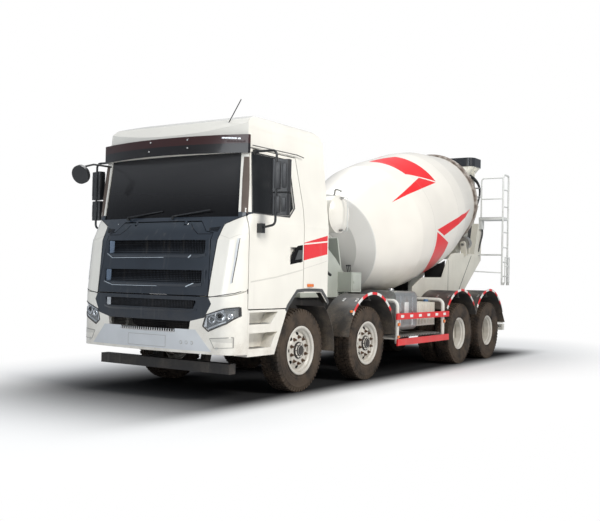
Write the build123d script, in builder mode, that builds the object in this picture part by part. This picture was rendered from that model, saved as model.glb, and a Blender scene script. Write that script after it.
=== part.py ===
from build123d import *
import math
import os

os.makedirs("parts", exist_ok=True)

# Concrete mixer truck, 8x4, in millimetres.
# +X is the truck's left side, -Y its front and +Z up. The ground is z = 0.
# The origin is on the ground under the middle of the whole vehicle.

# Overall reach of the vehicle, from its first axle
front_reach = 1605
rear_reach = 7885
axle1_y = (front_reach - rear_reach) / 2

# Wheelbases and the axle stations
wheelbase_12 = 1750
wheelbase_23 = 3250
wheelbase_34 = 1350
axle2_y = axle1_y + wheelbase_12
axle3_y = axle2_y + wheelbase_23
axle4_y = axle3_y + wheelbase_34
steered_axles = (("1", axle1_y), ("2", axle2_y))
driven_axles = (("3", axle3_y), ("4", axle4_y))
sides = (("left", 1), ("right", -1))

# Clearances
seat_gap = 0.3
pin_gap = 0.5
door_gap = 12
lid_gap = 8

# Tyres and wheels
tyre_radius = 530
tyre_width = 278
tyre_facets = 30
tread_half = 110
bulge_radius = 405
bead_radius = 256
bead_half = 108
flange_radius = 276
flange_wall = 9
rim_wall = 9
rim_half = 104
well_radius = 238
well_half = 46
disc_wall = 12
stud_circle = 335
vent_circle = 432
vent_size = 44
vent_count = 8
hub_radius = 108
hub_cap_radius = 74
drum_brake_radius = 212
drum_brake_wall = 14
steered_x = 1021
twin_outer_x = 1096
twin_spacing = 322
twin_inner_x = twin_outer_x - twin_spacing
disc_offset = 98

# Axles, knuckles and springs
kingpin_x = 820
kingpin_radius = 24
boss_radius = 54
boss_height = 130
ear_height = 38
ear_gap = 6
spindle_radius = 38
beam_depth = 100
beam_drop = 90
spring_x = 430
spring_width = 80
spring_height = 90
spring_length = 1300
tube_radius = 78
diff_radius = 235
shaft_radius = 55

# Frame
rail_x = 430
rail_height = 300
rail_flange = 90
rail_wall = 10
rail_top = 1020
rail_front_y = axle1_y - 1180
rail_rear_y = axle1_y + 7300
subframe_height = 150
subframe_width = 80
subframe_front_y = axle1_y + 700
subframe_top = rail_top + subframe_height
cross_depth = 70

# Cab
cab_half = 1235
cab_wall = 55
cab_low = 1080
cab_rear_y = axle1_y + 490
belt_z = 2146
glass_top_z = 2900
cab_top = 3450
floor_z = 1500
underside_z = 1430
nose_wall = 45
firewall_y = axle1_y - 1150
firewall_wall = 45
door_front_y = axle1_y - 1240
door_rear_y = axle1_y - 100
door_thick = 60
hinge_inset = 15
tilt_pivot_y = axle1_y - 1300
tilt_pivot_z = 900
tilt_pin_radius = 25
tilt_x = 520

# Bumper and steps
bumper_low = 560
bumper_wall = 40
trim_low = 820
lid_low = 1220
lid_top = 2085

# Mixer drum, on an axis that rises to the rear
drum_tilt = 15
ring_y = axle1_y + 6420
ring_z = 3020
ring_radius = 920
ring_width = 100
drum_radius = 1130
drum_wall = 8
mouth_radius = 550
mouth_s = 850
head_radius = 820
head_s = -4000
roller_radius = 125
roller_width = 110
roller_angle = 35
roller_shaft = 28

# Feed hopper over the drum's mouth
hopper_half_x = 500
hopper_front_y = axle1_y + 7230
hopper_rear_y = axle1_y + 7770
hopper_top = 3970
band_height = 175
sheet = 8

# Ladder at the left rear
ladder_x = 1095
ladder_front_y = axle1_y + 7385
ladder_rear_y = axle1_y + 7690
ladder_tube = 18
ladder_low = 1430
platform_z = 2720

drum_axis = (0, math.cos(math.radians(drum_tilt)), math.sin(math.radians(drum_tilt)))


def along_drum(s, radius=0, angle=0):
    """Point at distance s behind the ring, off the axis by radius, turned by angle from straight down."""
    tilt = math.radians(drum_tilt)
    turn = math.radians(angle)
    drop = radius * math.cos(turn)
    return (
        radius * math.sin(turn),
        ring_y + s * math.cos(tilt) + drop * math.sin(tilt),
        ring_z + s * math.sin(tilt) - drop * math.cos(tilt),
    )


def across_drum(s, radius=0, angle=0):
    """Plane square to the drum's axis at that point, facing the rear, its x along the truck's width."""
    return Plane(along_drum(s, radius, angle), x_dir=(1, 0, 0), z_dir=drum_axis)


def facing_front(y):
    """Upright plane across the truck at y, x to the left side, its normal to the front."""
    return Plane((0, y, 0), x_dir=(1, 0, 0), z_dir=(0, -1, 0))


def wheel_plane(side, x, y, z):
    """Plane through a wheel's axle, its x outwards along the axle and its y upwards."""
    return Plane((side * x, y, z), x_dir=(side, 0, 0), z_dir=(0, -side, 0))


# Running gear: tyres as rings with flat facets, one flat down
tyre_bands = (  # offset from the tyre's middle, radius
    (-bead_half, bead_radius + 42),
    (-tyre_width / 2, bulge_radius),
    (-tread_half, tyre_radius),
    (tread_half, tyre_radius),
    (tyre_width / 2, bulge_radius),
    (bead_half, bead_radius + 42),
)


def tyre_section(x, y):
    """Plane square to the axle at y, with a facet's middle straight down."""
    return Plane((x, y, tyre_radius), x_dir=(0, 0, -1), z_dir=(1, 0, 0))


def rim_points(middle):
    """Half section of one rim in a wheel's plane, its middle at that offset."""
    inner = bead_radius - rim_wall
    half = (
        (rim_half, flange_radius - rim_wall), (rim_half, flange_radius),
        (rim_half - rim_wall, flange_radius), (rim_half - rim_wall - 4, bead_radius),
        (well_half + 14, bead_radius), (well_half, well_radius),
    )
    lower = ((well_half, well_radius - rim_wall), (well_half + 14, inner), (rim_half - 18, inner))
    right = [(middle + a, r) for a, r in half]
    left = [(middle - a, r) for a, r in reversed(half)]
    under = [(middle - a, r) for a, r in reversed(lower)] + [(middle + a, r) for a, r in lower]
    return right + left + under


for number, y in steered_axles:
    for side_name, side in sides:
        axle_line = Axis((0, y, tyre_radius), (1, 0, 0))
        with BuildPart() as front_wheel:
            with BuildSketch(wheel_plane(side, steered_x, y, tyre_radius)):
                with BuildLine():
                    Polyline(*rim_points(0), close=True)
                make_face()
                with BuildLine():
                    Polyline(
                        (well_half - 6, well_radius - rim_wall + 3),
                        (well_half + 16, bead_radius - rim_wall + 3),
                        (disc_offset - 16, vent_circle / 2 - 14),
                        (disc_offset, stud_circle / 2 + 18),
                        (disc_offset, hub_radius),
                        (disc_offset + 22, hub_radius - 8),
                        (disc_offset + 26, hub_cap_radius),
                        (disc_offset + 42, hub_cap_radius - 10),
                        (disc_offset + 42, 0),
                        (disc_offset + 2, 0),
                        (disc_offset + 2, spindle_radius + pin_gap),
                        (-60, spindle_radius + pin_gap),
                        (-60, hub_radius - 20),
                        (disc_offset - 70, hub_radius - 20),
                        (disc_offset - 70, drum_brake_radius - drum_brake_wall),
                        (-120, drum_brake_radius - drum_brake_wall),
                        (-120, drum_brake_radius),
                        (disc_offset - 56, drum_brake_radius),
                        (disc_offset - 56, hub_radius + 10),
                        (disc_offset - disc_wall, hub_radius + 10),
                        (disc_offset - disc_wall, stud_circle / 2 + 14),
                        (disc_offset - disc_wall - 16, vent_circle / 2 - 18),
                        close=True,
                    )
                make_face()
            revolve(axis=axle_line)
            vent_place = Plane(
                (side * (steered_x + disc_offset - 30), y, tyre_radius), x_dir=(0, 1, 0), z_dir=(side, 0, 0)
            )
            with BuildSketch(vent_place):
                with PolarLocations(vent_circle / 2 - 4, vent_count):
                    SlotOverall(vent_size * 1.35, vent_size, rotation=90)
            extrude(amount=60, mode=Mode.SUBTRACT)
        front_wheel.part.label = f"wheel_{number}_{side_name}"
        export_step(front_wheel.part, f"parts/wheel_{number}_{side_name}.step")

        with BuildPart() as front_tyre:
            for middle in (side * steered_x,):
                for shift, radius in tyre_bands:
                    with BuildSketch(tyre_section(middle + shift, y)):
                        RegularPolygon(radius, tyre_facets, major_radius=False)
                loft(ruled=True)
                with BuildSketch(tyre_section(middle - tyre_width / 2, y)):
                    RegularPolygon(flange_radius + seat_gap, tyre_facets, major_radius=False)
                extrude(amount=tyre_width, mode=Mode.SUBTRACT)
        front_tyre.part.label = f"tyre_{number}_{side_name}"
        export_step(front_tyre.part, f"parts/tyre_{number}_{side_name}.step")

        # Knuckle: a yoke round the axle's boss, the kingpin and the spindle
        boss_top = tyre_radius + boss_height / 2
        yoke_top = boss_top + ear_gap + ear_height
        yoke_low = 2 * tyre_radius - yoke_top
        back_x = kingpin_x + boss_radius + 12
        with BuildPart() as knuckle:
            for low in (yoke_low, yoke_top - ear_height):
                with BuildSketch(Plane.XY.offset(low)):
                    with Locations((side * kingpin_x, y)):
                        Circle(boss_radius - 4)
                    with Locations((side * (kingpin_x + back_x) / 2, y)):
                        Rectangle(back_x - kingpin_x, 2 * boss_radius - 8)
                extrude(amount=ear_height)
            with Locations((side * (back_x + 12), y, tyre_radius)):
                Box(28, 2 * boss_radius, yoke_top - yoke_low)
            with Locations((side * kingpin_x, y, tyre_radius)):
                Cylinder(kingpin_radius, yoke_top - yoke_low)
            with BuildSketch(Plane.YZ.offset(side * (back_x + 26))):
                with Locations((y, tyre_radius)):
                    Circle(drum_brake_radius - drum_brake_wall - 12)
            extrude(amount=side * 8)
            with BuildSketch(Plane.YZ.offset(side * (back_x + 20))):
                with Locations((y, tyre_radius)):
                    Circle(spindle_radius)
            extrude(amount=side * (steered_x + disc_offset - 6 - back_x - 20))
        knuckle.part.label = f"knuckle_{number}_{side_name}"
        export_step(knuckle.part, f"parts/knuckle_{number}_{side_name}.step")

for number, y in driven_axles:
    for side_name, side in sides:
        axle_line = Axis((0, y, tyre_radius), (1, 0, 0))
        twin_middle = (twin_outer_x + twin_inner_x) / 2
        with BuildPart() as twin_wheel:
            with BuildSketch(wheel_plane(side, twin_middle, y, tyre_radius)):
                for middle in (twin_spacing / 2, -twin_spacing / 2):
                    with BuildLine():
                        Polyline(*rim_points(middle), close=True)
                    make_face()
                with BuildLine():
                    Polyline(
                        (twin_spacing / 2 - rim_half + 20, bead_radius - rim_wall + 3),
                        (disc_wall, stud_circle / 2 + 20),
                        (disc_wall, hub_radius),
                        (86, hub_radius - 6),
                        (92, hub_cap_radius),
                        (92, 0),
                        (10, 0),
                        (10, spindle_radius + 12 + pin_gap),
                        (-130, spindle_radius + 12 + pin_gap),
                        (-130, drum_brake_radius),
                        (-disc_wall - 4, drum_brake_radius - 40),
                        (-disc_wall, stud_circle / 2 + 20),
                        (rim_half - twin_spacing / 2 - 20, bead_radius - rim_wall + 3),
                        (rim_half - twin_spacing / 2 - 8, bead_radius - rim_wall + 3),
                        (0, stud_circle / 2 + 34),
                        (twin_spacing / 2 - rim_half + 8, bead_radius - rim_wall + 3),
                        close=True,
                    )
                make_face()
            revolve(axis=axle_line)
        twin_wheel.part.label = f"twin_wheel_{number}_{side_name}"
        export_step(twin_wheel.part, f"parts/twin_wheel_{number}_{side_name}.step")

        with BuildPart() as twin_tyres:
            for middle in (side * twin_outer_x, side * twin_inner_x):
                for shift, radius in tyre_bands:
                    with BuildSketch(tyre_section(middle + shift, y)):
                        RegularPolygon(radius, tyre_facets, major_radius=False)
                loft(ruled=True)
                with BuildSketch(tyre_section(middle - tyre_width / 2, y)):
                    RegularPolygon(flange_radius + seat_gap, tyre_facets, major_radius=False)
                extrude(amount=tyre_width, mode=Mode.SUBTRACT)
        twin_tyres.part.label = f"twin_tyres_{number}_{side_name}"
        export_step(twin_tyres.part, f"parts/twin_tyres_{number}_{side_name}.step")

# Axles on the chassis: two dropped beams with kingpin bosses, two driven housings
rail_low = rail_top - rail_height
with BuildPart() as axles:
    for number, y in steered_axles:
        top = tyre_radius + 45
        low = tyre_radius - 45
        with BuildSketch(facing_front(y + beam_depth / 2)):
            Polygon(
                (-kingpin_x, top), (-kingpin_x + 160, top), (-kingpin_x + 290, top - beam_drop),
                (kingpin_x - 290, top - beam_drop), (kingpin_x - 160, top), (kingpin_x, top),
                (kingpin_x, low), (kingpin_x - 160, low), (kingpin_x - 290, low - beam_drop),
                (-kingpin_x + 290, low - beam_drop), (-kingpin_x + 160, low), (-kingpin_x, low),
                align=None,
            )
        extrude(amount=beam_depth)
        with Locations((kingpin_x, y, tyre_radius), (-kingpin_x, y, tyre_radius)):
            Cylinder(boss_radius, boss_height)
            Cylinder(kingpin_radius + pin_gap, 2 * boss_height, mode=Mode.SUBTRACT)
    for number, y in driven_axles:
        inner_end = twin_inner_x - tyre_width / 2 - 24
        with BuildSketch(Plane.YZ):
            with Locations((y, tyre_radius)):
                Circle(tube_radius)
        extrude(amount=inner_end, both=True)
        with BuildSketch(Plane.YZ):
            with Locations((y, tyre_radius)):
                Circle(spindle_radius + 12)
        extrude(amount=(twin_outer_x + twin_inner_x) / 2 + 4, both=True)
        with Locations((0, y, tyre_radius)):
            Sphere(diff_radius)

# Leaf springs between rails and axles: front packs over their beams, tandem packs turned over
with BuildPart() as leaf_springs:
    front_pad = tyre_radius + 45 - beam_drop
    for number, y in steered_axles:
        with BuildSketch(Plane.YZ.offset(spring_x - spring_width / 2)):
            Polygon(
                (y - spring_length / 2, rail_low - 70), (y - 60, front_pad + seat_gap),
                (y + 60, front_pad + seat_gap), (y + spring_length / 2, rail_low - 70),
                (y + spring_length / 2, rail_low - 40), (y + 60, front_pad + spring_height),
                (y - 60, front_pad + spring_height), (y - spring_length / 2, rail_low - 40),
                align=None,
            )
        extrude(amount=spring_width)
        with Locations(
            (spring_x, y - spring_length / 2 + 20, rail_low - 35),
            (spring_x, y + spring_length / 2 - 20, rail_low - 35),
        ):
            Box(spring_width, 60, 70 - 2 * seat_gap)
    tandem_y = (axle3_y + axle4_y) / 2
    housing_top = tyre_radius + tube_radius
    with BuildSketch(Plane.YZ.offset(spring_x - spring_width / 2)):
        Polygon(
            (axle3_y - 90, housing_top + seat_gap), (axle3_y + 120, housing_top + seat_gap),
            (tandem_y, rail_low - spring_height - 40), (axle4_y - 120, housing_top + seat_gap),
            (axle4_y + 90, housing_top + seat_gap), (axle4_y + 90, housing_top + 36),
            (tandem_y + 120, rail_low - seat_gap), (tandem_y - 120, rail_low - seat_gap),
            (axle3_y - 90, housing_top + 36),
            align=None,
        )
    extrude(amount=spring_width)
    mirror(about=Plane.YZ)
axles_and_springs = Compound([*axles.part.solids(), *leaf_springs.part.solids()])
axles_and_springs.label = "axles"
export_step(axles_and_springs, "parts/axles.step")

# Frame: two channel rails, crossmembers, the mixer's subframe, front underrun bar and tow jaw
cross_height = 95
cross_drop = 20
bearing_y = axle2_y + 1900
cross_stations = (
    axle1_y - 1130, axle1_y + 940, axle2_y + 700, bearing_y, axle3_y - 500, axle4_y + 550,
)
tow_radius = 25
tow_height = 150
underrun_half = 1040
underrun_y = axle1_y - 1256
underrun_low = 320
underrun_height = 120
with BuildPart() as chassis_frame:
    with BuildSketch(facing_front(rail_front_y)):
        with BuildLine():
            Polyline(
                (rail_x, rail_low), (rail_x, rail_top), (rail_x - rail_flange, rail_top),
                (rail_x - rail_flange, rail_top - rail_wall), (rail_x - rail_wall, rail_top - rail_wall),
                (rail_x - rail_wall, rail_low + rail_wall), (rail_x - rail_flange, rail_low + rail_wall),
                (rail_x - rail_flange, rail_low), close=True,
            )
        make_face()
    extrude(amount=rail_front_y - rail_rear_y)
    with Locations((rail_x - subframe_width / 2, (subframe_front_y + rail_rear_y) / 2, rail_top + subframe_height / 2)):
        Box(subframe_width, rail_rear_y - subframe_front_y, subframe_height)
    # Drop arms of the underrun bar, swept back to the rails
    with BuildSketch(Plane.YZ.offset(rail_x - 70)):
        Polygon(
            (underrun_y, underrun_low + 20), (underrun_y + 330, underrun_low + 20),
            (underrun_y + 420, rail_low), (underrun_y + 420, rail_low + 60), (underrun_y + 300, rail_low + 60),
            (underrun_y + 240, underrun_low + 118), (underrun_y, underrun_low + 118),
            align=None,
        )
    extrude(amount=70)
    mirror(about=Plane.YZ)
    cross_width = 2 * (rail_x - rail_wall / 2)
    cross_mid = (rail_low + rail_top) / 2
    for y in cross_stations:
        with Locations((0, y, rail_top - cross_drop - cross_height / 2)):
            Box(cross_width, cross_depth, cross_height)
    with Locations((0, rail_rear_y - 40, cross_mid)):
        Box(cross_width, 80, rail_height)
    with Locations((0, underrun_y, underrun_low + underrun_height / 2)):
        Box(2 * underrun_half, 120, underrun_height)
    with Locations((0, rail_rear_y + 80, cross_mid)):
        Box(120, 170, tow_height)
    with Locations((0, rail_rear_y + 110, cross_mid)):
        Cylinder(tow_radius, tow_height + 20, mode=Mode.SUBTRACT)
    # Brackets that carry the cab's tilt pins, and the cab's rear rest
    with BuildSketch(Plane.YZ.offset(rail_x)):
        with BuildLine():
            Polyline(
                (rail_front_y + 260, rail_low + 40), (rail_front_y + 260, rail_top - 20),
                (rail_front_y, rail_top - 20), (tilt_pivot_y - 45, tilt_pivot_z + 45),
                (tilt_pivot_y - 45, tilt_pivot_z - 45), (rail_front_y, rail_low + 40), close=True,
            )
        make_face()
    extrude(amount=40)
    with BuildSketch(Plane.YZ.offset(-rail_x - 40)):
        with BuildLine():
            Polyline(
                (rail_front_y + 260, rail_low + 40), (rail_front_y + 260, rail_top - 20),
                (rail_front_y, rail_top - 20), (tilt_pivot_y - 45, tilt_pivot_z + 45),
                (tilt_pivot_y - 45, tilt_pivot_z - 45), (rail_front_y, rail_low + 40), close=True,
            )
        make_face()
    extrude(amount=40)
    with Locations((0, tilt_pivot_y, tilt_pivot_z)):
        Cylinder(tilt_pin_radius, 2 * tilt_x + 90, rotation=(0, 90, 0))
    rest_y = cab_rear_y - 120
    for side_name, side in sides:
        with Locations((side * (rail_x - 45), rest_y, (rail_top + underside_z) / 2 - 30)):
            Box(90, 110, underside_z - rail_top - 60)
        with Locations((side * (rail_x - 45), rest_y, underside_z - 60 + 30 - seat_gap / 2)):
            Box(120, 140, 60 - seat_gap)
chassis_frame.part.label = "chassis_frame"
export_step(chassis_frame.part, "parts/chassis_frame.step")

# Engine block with gearbox between the rails, and the shafts to the tandem
engine_half = 320
engine_low = 560
engine_top = 1400
gearbox_end = axle1_y + 880
shaft_gap = 6
with BuildPart() as driveline:
    with Locations((0, axle1_y - 330, (engine_low + engine_top) / 2 + 90)):
        Box(2 * engine_half, 1150, engine_top - engine_low - 180)
    with Locations((0, axle1_y - 330, engine_low + 120)):
        Box(420, 700, 240)
    with Locations((0, gearbox_end - 320, 900)):
        Box(420, 640, 420)
    # Feet that rest the engine against the rails' webs
    foot_half = rail_x - rail_wall - seat_gap
    for y in (axle1_y - 700, axle1_y + 60):
        with Locations((0, y, rail_top - 120)):
            Box(2 * foot_half, 120, 60)
    shaft_start = (0, gearbox_end - 10, 830)
    shaft_mid = (0, bearing_y, 800)
    shaft_end = (0, axle3_y - diff_radius, tyre_radius + 60)
    for start, end in ((shaft_start, shaft_mid), (shaft_mid, shaft_end)):
        run = Vector(*end) - Vector(*start)
        with BuildSketch(Plane(start, z_dir=run)):
            Circle(shaft_radius)
        extrude(amount=run.length)
    with Locations(shaft_mid):
        Sphere(shaft_radius + 15)
    cross_low = rail_top - cross_drop - cross_height
    with Locations((0, bearing_y, (cross_low - seat_gap + shaft_mid[2]) / 2)):
        Box(120, cross_depth, cross_low - seat_gap - shaft_mid[2])
    with BuildSketch(facing_front(axle4_y)):
        with Locations((0, tyre_radius + 60)):
            Circle(shaft_radius - 10)
    extrude(amount=wheelbase_34)
    for y in (axle3_y, axle4_y):
        with Locations((0, y, tyre_radius)):
            Sphere(diff_radius + seat_gap, mode=Mode.SUBTRACT)
driveline.part.label = "driveline"
export_step(driveline.part, "parts/driveline.step")

# Cab: plan sections from the door's foot to the roof, inset for inner faces
cab_sections = (  # height, corner y, middle y, corner radius
    (cab_low, axle1_y - 1493, axle1_y - front_reach, 230),
    (lid_low, axle1_y - 1493, axle1_y - front_reach, 230),
    (1870, axle1_y - 1400, axle1_y - 1513, 180),
    (belt_z, axle1_y - 1245, axle1_y - 1370, 120),
    (glass_top_z, axle1_y - 1160, axle1_y - 1275, 110),
    (cab_top + 100, axle1_y - 1095, axle1_y - 1210, 110),
)
cell_bow = 8
cell_sections = (
    (floor_z, firewall_y + cell_bow, firewall_y, 60),
    (belt_z - 60, firewall_y + cell_bow, firewall_y, 60),
    (belt_z, axle1_y - 1245 + cab_wall, axle1_y - 1370 + cab_wall, 70),
    (glass_top_z, axle1_y - 1160 + cab_wall, axle1_y - 1275 + cab_wall, 70),
    (cab_top + 100, axle1_y - 1095 + cab_wall, axle1_y - 1210 + cab_wall, 70),
)
eaves_z = 3190
eaves_half = 1116
waist_z = 2100
roof_half = 930
roof_z = cab_top - 55
brow_z = 3120


def cab_form(sections, inset, low=0):
    """The cab's closed outer form, drawn in by the inset, with its foot let down by low."""
    half = cab_half - inset
    with BuildPart() as form:
        for index, (z, corner_y, middle_y, radius) in enumerate(sections):
            drop = low if index == 0 else 0
            with BuildSketch(Plane.XY.offset(z - drop)) as plan:
                with BuildLine():
                    Polyline(
                        (half, corner_y + inset), (half, cab_rear_y - inset),
                        (-half, cab_rear_y - inset), (-half, corner_y + inset),
                    )
                    ThreePointArc(
                        (-half, corner_y + inset), (0, middle_y + inset), (half, corner_y + inset)
                    )
                make_face()
                fillet(plan.vertices().group_by(Axis.Y)[0], radius - inset / 2)
        loft(ruled=True)
        with BuildSketch(facing_front(cab_rear_y + 100)):
            with BuildLine():
                Polyline(
                    (eaves_half - inset, eaves_z), (half, waist_z), (half, 0), (-half, 0),
                    (-half, waist_z), (inset - eaves_half, eaves_z),
                )
                ThreePointArc(
                    (-roof_half, roof_z - inset), (0, cab_top - inset), (roof_half, roof_z - inset)
                )
                for flip in (1, -1):
                    ThreePointArc(
                        (flip * roof_half, roof_z - inset),
                        (flip * (eaves_half - 42 - inset * 0.75), eaves_z + 138 - inset * 0.75),
                        (flip * (eaves_half - inset), eaves_z),
                    )
            make_face()
        extrude(amount=2400, mode=Mode.INTERSECT)
        with BuildSketch(Plane.YZ):
            rear = cab_rear_y - inset
            with BuildLine():
                Polyline(
                    (axle1_y - 400, cab_top - inset), (axle1_y - 800, cab_top - 38 - inset),
                    (axle1_y - 1080, cab_top - 125 - inset), (axle1_y - 1290, brow_z - inset),
                    (axle1_y - 1900, brow_z - 10 - inset), (axle1_y - 1900, 0), (rear, 0),
                    (rear, cab_top - 290),
                )
                ThreePointArc(
                    (rear, cab_top - 290), (rear - 78, cab_top - 95 - inset),
                    (rear - 270, cab_top - 12 - inset),
                )
                Line((rear - 270, cab_top - 12 - inset), (axle1_y - 400, cab_top - inset))
            make_face()
        extrude(amount=cab_half + 10, both=True, mode=Mode.INTERSECT)
    return form.part


glass_inset = 14
glass_wall = 7
cab_outer = cab_form(cab_sections, 0)
cab_inset = cab_form(cab_sections, nose_wall, 40)
door_inset = cab_form(cab_sections, door_thick, 40)
glass_outer = cab_form(cab_sections, glass_inset)
glass_inner = cab_form(cab_sections, glass_inset + glass_wall)
cab_cell = cab_form(cell_sections, cab_wall)

# Outlines of the door, its window, the wheel arch, the windscreen and the lid
door_points = (
    (door_front_y, cab_low - 5), (door_front_y, waist_z), (door_front_y + 85, 2950),
    (door_rear_y - 105, 2950), (door_rear_y, 2330), (door_rear_y, cab_low - 5),
)
window_points = (
    (door_front_y + 60, 2205), (door_front_y + 122, glass_top_z),
    (door_rear_y - 262, glass_top_z), (door_rear_y - 205, 2310), (door_rear_y - 330, 2205),
)
arch_points = (
    (axle1_y - 470, cab_low - 60), (axle1_y - 420, cab_low + 10), (axle1_y - 225, 1262),
    (axle1_y + 330, 1268), (axle1_y + 470, cab_low + 60), (axle1_y + 620, cab_low - 60),
)
screen_points = (
    (1088, belt_z), (1052, glass_top_z), (-1052, glass_top_z), (-1088, belt_z),
)
door_inner_x = 1140
door_head_x = 1072
lid_side_low = 884
lid_side_high = 838
lid_points = (
    (lid_side_low, lid_low + 6), (lid_side_high, 1870), (lid_side_high, 1950), (735, 1968),
    (625, lid_top), (-625, lid_top), (-735, 1968), (-lid_side_high, 1950),
    (-lid_side_high, 1870), (-lid_side_low, lid_low + 6),
)
lid_hinge_y = axle1_y - 1386
lid_hinge_z = lid_top - 20
lid_hinge_x = 400
lid_lug = 30
lid_pin = 7

with BuildPart() as cab_shell:
    add(cab_outer)
    add(cab_cell, mode=Mode.SUBTRACT)
    # Underside between the skirts, the nose behind the lid, and the engine tunnel's lower part
    with BuildSketch(Plane.XY.offset(0)):
        with Locations((0, (cab_rear_y + 20 + firewall_y - firewall_wall) / 2)):
            Rectangle(2 * (cab_half - door_thick - 20), cab_rear_y + 20 - firewall_y + firewall_wall)
    extrude(amount=underside_z, mode=Mode.SUBTRACT)
    with BuildSketch(Plane.YZ) as nose:
        Polygon(
            (axle1_y - 1700, cab_low - 60), (firewall_y - firewall_wall, cab_low - 60),
            (firewall_y - firewall_wall, belt_z - 55), (axle1_y - 1700, belt_z - 55),
            align=None,
        )
    nose_box = extrude(amount=cab_half, both=True, mode=Mode.PRIVATE)
    add(nose_box & cab_inset, mode=Mode.SUBTRACT)
    # Lid opening with its clearance
    with BuildSketch(facing_front(axle1_y - 1270)) as lid_hole:
        with BuildLine():
            Polyline(*lid_points, close=True)
        make_face()
        offset(amount=lid_gap, kind=Kind.INTERSECTION)
        with Locations((0, lid_top + 4)):
            Rectangle(2 * 625, 20)
        with Locations((0, lid_low)):
            Rectangle(2 * lid_side_low + 2 * lid_gap, 40)
    extrude(amount=500, mode=Mode.SUBTRACT)
    # Door openings through the sides, stopping at the corner posts
    with BuildSketch(Plane.YZ):
        with BuildLine():
            Polyline(*door_points, close=True)
        make_face()
        offset(amount=door_gap, kind=Kind.INTERSECTION)
    door_hole = extrude(amount=cab_half + 10, both=True, mode=Mode.PRIVATE)
    for side_name, side in sides:
        with BuildSketch(facing_front(door_rear_y + 200)):
            Polygon(
                (side * door_inner_x, cab_low - 100), (side * door_inner_x, belt_z),
                (side * door_head_x, 2990), (side * 1300, 2990), (side * 1300, cab_low - 100),
                align=None,
            )
        door_zone = extrude(amount=1600, mode=Mode.PRIVATE)
        add(door_hole & door_zone, mode=Mode.SUBTRACT)
    with BuildSketch(Plane.YZ) as arch_hole:
        with BuildLine():
            Polyline(*arch_points, close=True)
        make_face()
    extrude(amount=cab_half + 10, both=True, mode=Mode.SUBTRACT)
    # Windscreen opening
    with BuildSketch(facing_front(axle1_y - 1000)) as screen_hole:
        with BuildLine():
            Polyline(*screen_points, close=True)
        make_face()
    extrude(amount=700, mode=Mode.SUBTRACT)
    # Front corners rise to the doors over the bumper's corners
    with BuildSketch(Plane.YZ) as corner_rise:
        Polygon(
            (axle1_y - 1700, cab_low - 10), (axle1_y - 1700, lid_low), (axle1_y - 1547, lid_low),
            (door_front_y - door_gap, lid_low + 80), (door_front_y - door_gap, cab_low - 10),
            align=None,
        )
    extrude(amount=cab_half + 10, both=True, mode=Mode.SUBTRACT)
    # Arms under the floor that carry the tilt pins' bushes
    for side_name, side in sides:
        with BuildSketch(Plane.YZ.offset(side * tilt_x)):
            Polygon(
                (tilt_pivot_y - 50, tilt_pivot_z - 50), (tilt_pivot_y + 60, tilt_pivot_z - 50),
                (firewall_y + 60, underside_z), (firewall_y + 60, underside_z + 30),
                (firewall_y - firewall_wall, underside_z + 30), (tilt_pivot_y - 50, tilt_pivot_z + 60),
                align=None,
            )
        extrude(amount=20, both=True)
        with Locations((side * tilt_x, tilt_pivot_y, tilt_pivot_z)):
            Cylinder(tilt_pin_radius + pin_gap, 80, rotation=(0, 90, 0), mode=Mode.SUBTRACT)
    # Lugs and pins that hold the lid's upper edge
    for flip in (1, -1):
        with Locations((flip * lid_hinge_x, lid_hinge_y + 8, lid_hinge_z + 20)):
            lug = Box(lid_lug, 50, 64, mode=Mode.PRIVATE)
        add(lug & cab_outer)
        with Locations((flip * lid_hinge_x, lid_hinge_y - 17, lid_hinge_z - 12)):
            Box(lid_lug + 2, 10, 10, rotation=(45, 0, 0), mode=Mode.SUBTRACT)
        with Locations((flip * lid_hinge_x, lid_hinge_y, lid_hinge_z)):
            Cylinder(lid_pin, lid_lug + 44, rotation=(0, 90, 0))
cab_shell.part.label = "cab_shell"
export_step(cab_shell.part, "parts/cab_shell.step")

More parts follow.
